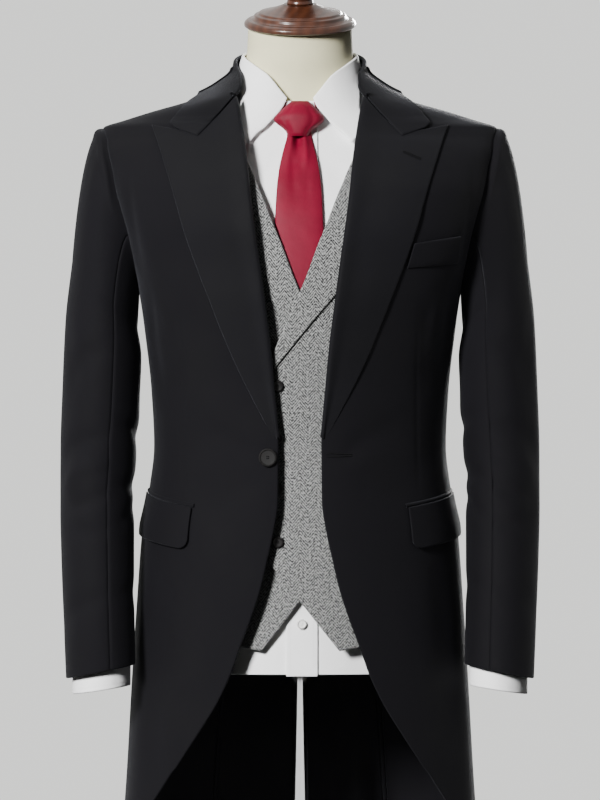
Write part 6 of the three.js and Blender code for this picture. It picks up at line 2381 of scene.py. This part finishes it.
@dataclass
class Studio:
    """A plain pale floor and air, soft lights and the camera."""

    radius: float = 12.0
    around: int = 96
    pale: tuple[float, float, float] = (0.995, 1.0, 0.975)
    glow: float = 1.12
    air: float = 1.2
    distance: float = 9.0
    middle: float = 1.109
    tall: float = 0.92
    sensor: float = 24.0
    sight: float = 40.0

    def floor(self) -> None:
        """Makes the round floor, whose own faint glow keeps it as pale as the air behind it."""
        turn = np.linspace(0, 2 * math.pi, self.around, endpoint=False)
        ring = np.stack([np.cos(turn), np.sin(turn), 0 * turn], axis=-1)
        points = np.concatenate([[[0.0, 0.0, 0.0]], ring, ring * self.radius])
        inner = np.arange(1, self.around + 1)
        ahead = np.roll(inner, -1)
        faces = np.stack([0 * inner, inner, ahead], axis=-1).tolist()
        faces += np.stack([inner, inner + self.around, ahead + self.around, ahead], axis=-1).tolist()
        nodes = Nodes("floor_paper")
        nodes.set(Base_Color=colour(0.20, 0.202, 0.196), Roughness=0.9, Specular_IOR_Level=0.05)
        nodes.set(Emission_Color=colour(*self.pale), Emission_Strength=self.glow)
        paper = make_object("floor", points / MM, faces, nodes.material)
        paper.visible_diffuse = False
        paper.visible_glossy = False

    def light(self, name: str, place: Sequence[float], aim: Sequence[float], size: tuple[float, float],
              power: float) -> None:
        """Hangs one soft light."""
        data = bpy.data.lights.new(name, "AREA")
        data.shape = "RECTANGLE"
        data.size, data.size_y = size
        data.energy = power
        lamp = bpy.data.objects.new(name, data)
        lamp.location = place
        lamp.rotation_euler = (Vector(aim) - Vector(place)).to_track_quat("-Z", "Y").to_euler()
        lamp.visible_camera = False
        bpy.context.scene.collection.objects.link(lamp)

    def lights(self) -> None:
        """Hangs the key light at the upper left, a weak fill, one above and one behind."""
        self.light("key_light", (-2.6, -3.9, 2.8), (0, 0, 1.15), (0.9, 1.1), 640)
        self.light("fill_light", (2.6, -4.6, 2.0), (0, 0, 1.1), (2.6, 2.6), 1.5)
        self.light("top_light", (-0.6, 0.4, 4.0), (0, 0, 1.2), (2.2, 1.6), 24)
        self.light("back_light", (1.5, 5.8, 2.6), (0, 0, 1.1), (1.6, 1.6), 620)
        world = bpy.data.worlds.new("studio_air")
        world.use_nodes = True
        inputs = world.node_tree.nodes["Background"].inputs
        inputs["Color"].default_value = colour(*self.pale)
        inputs["Strength"].default_value = self.air
        world.cycles_visibility.diffuse = False
        bpy.context.scene.world = world

    def camera(self) -> None:
        """Sets up the camera as in the photograph."""
        data = bpy.data.cameras.new("front_camera")
        data.sensor_fit = "VERTICAL"
        data.sensor_height = self.sensor
        data.lens = self.sensor * self.distance / self.tall
        data.clip_end = self.sight
        camera = bpy.data.objects.new("front_camera", data)
        camera.location = (0.0, -self.distance, self.middle)
        camera.rotation_euler = (math.radians(90), 0.0, 0.0)
        bpy.context.scene.collection.objects.link(camera)
        bpy.context.scene.camera = camera


def main() -> None:
    """Builds the suit and the form from the inside out, then the studio."""
    logging.basicConfig(level=logging.INFO, format="%(message)s")
    coat_wool = Worsted("coat_wool", (0.0014, 0.0012, 0.0019), (0.0034, 0.0031, 0.0045)).make()
    facing = Worsted("coat_facing", (0.0014, 0.0013, 0.0019), (0.0038, 0.0036, 0.0050), roughness=0.72,
                     sheen=0.08).make()
    grey = SaltAndPepper("waistcoat_wool").make()
    cotton = Poplin("shirt_cotton").make()
    satin = Satin("tie_satin").make()
    jersey = Jersey("form_jersey").make()
    wood = TurnedWood("turned_wood").make()
    chrome = Metal("pole_chrome", (0.78, 0.78, 0.80), 0.08).make()
    steel = Metal("base_steel", (0.42, 0.42, 0.44), 0.34, 0.12).make()
    horn = Polished("dark_horn", (0.003, 0.003, 0.003), (0.008, 0.007, 0.007), 0.55, 220, 0.0, 0.13).make()
    pearl = Polished("shell_button", (0.72, 0.72, 0.70), (0.86, 0.86, 0.84), 0.25).make()
    dark_thread = Polished("dark_thread", (0.0016, 0.0016, 0.0018), (0.0045, 0.0045, 0.005), 0.7, 900, 0.0,
                           0.1).make()
    pale_thread = Polished("pale_thread", (0.72, 0.72, 0.71), (0.84, 0.84, 0.83), 0.5, 900, 0.0).make()

    form = DressForm(jersey, wood, chrome, steel)
    form.torso()
    form.cap()
    form.stand()
    shirt = Shirt(cotton)
    shirt.body()
    shirt.placket()
    shirt.collar()
    tie = Tie(satin)
    tie.band()
    tie.blade()
    tie.knot()
    waistcoat = Waistcoat(grey)
    waistcoat.back()
    morning_coat = MorningCoat(coat_wool, facing)
    sleeves = CoatSleeves(morning_coat)
    pockets = CoatPockets(morning_coat)
    morning_coat.collar()
    morning_coat.lapels()
    pockets.welt()
    for side in Side:
        shirt.sleeve(side)
        waistcoat.front(side)
        waistcoat.lapel(side)
        morning_coat.front(side)
        morning_coat.side_panel(side)
        morning_coat.skirt(side)
        morning_coat.back(side)
        sleeves.build(side)
        pockets.flap(side)
        pockets.jetting_strip(side)
    fastenings = Fastenings(morning_coat, horn, pearl, dark_thread, pale_thread)
    fastenings.body_buttons()
    fastenings.sleeve_buttons()
    dark = Stitches(dark_thread)
    fastenings.buttonholes(dark)
    fastenings.shirt_stitching(Stitches(pale_thread), shirt.sheets)

    studio = Studio()
    studio.floor()
    studio.lights()
    studio.camera()


if __name__ == "__main__":
    main()
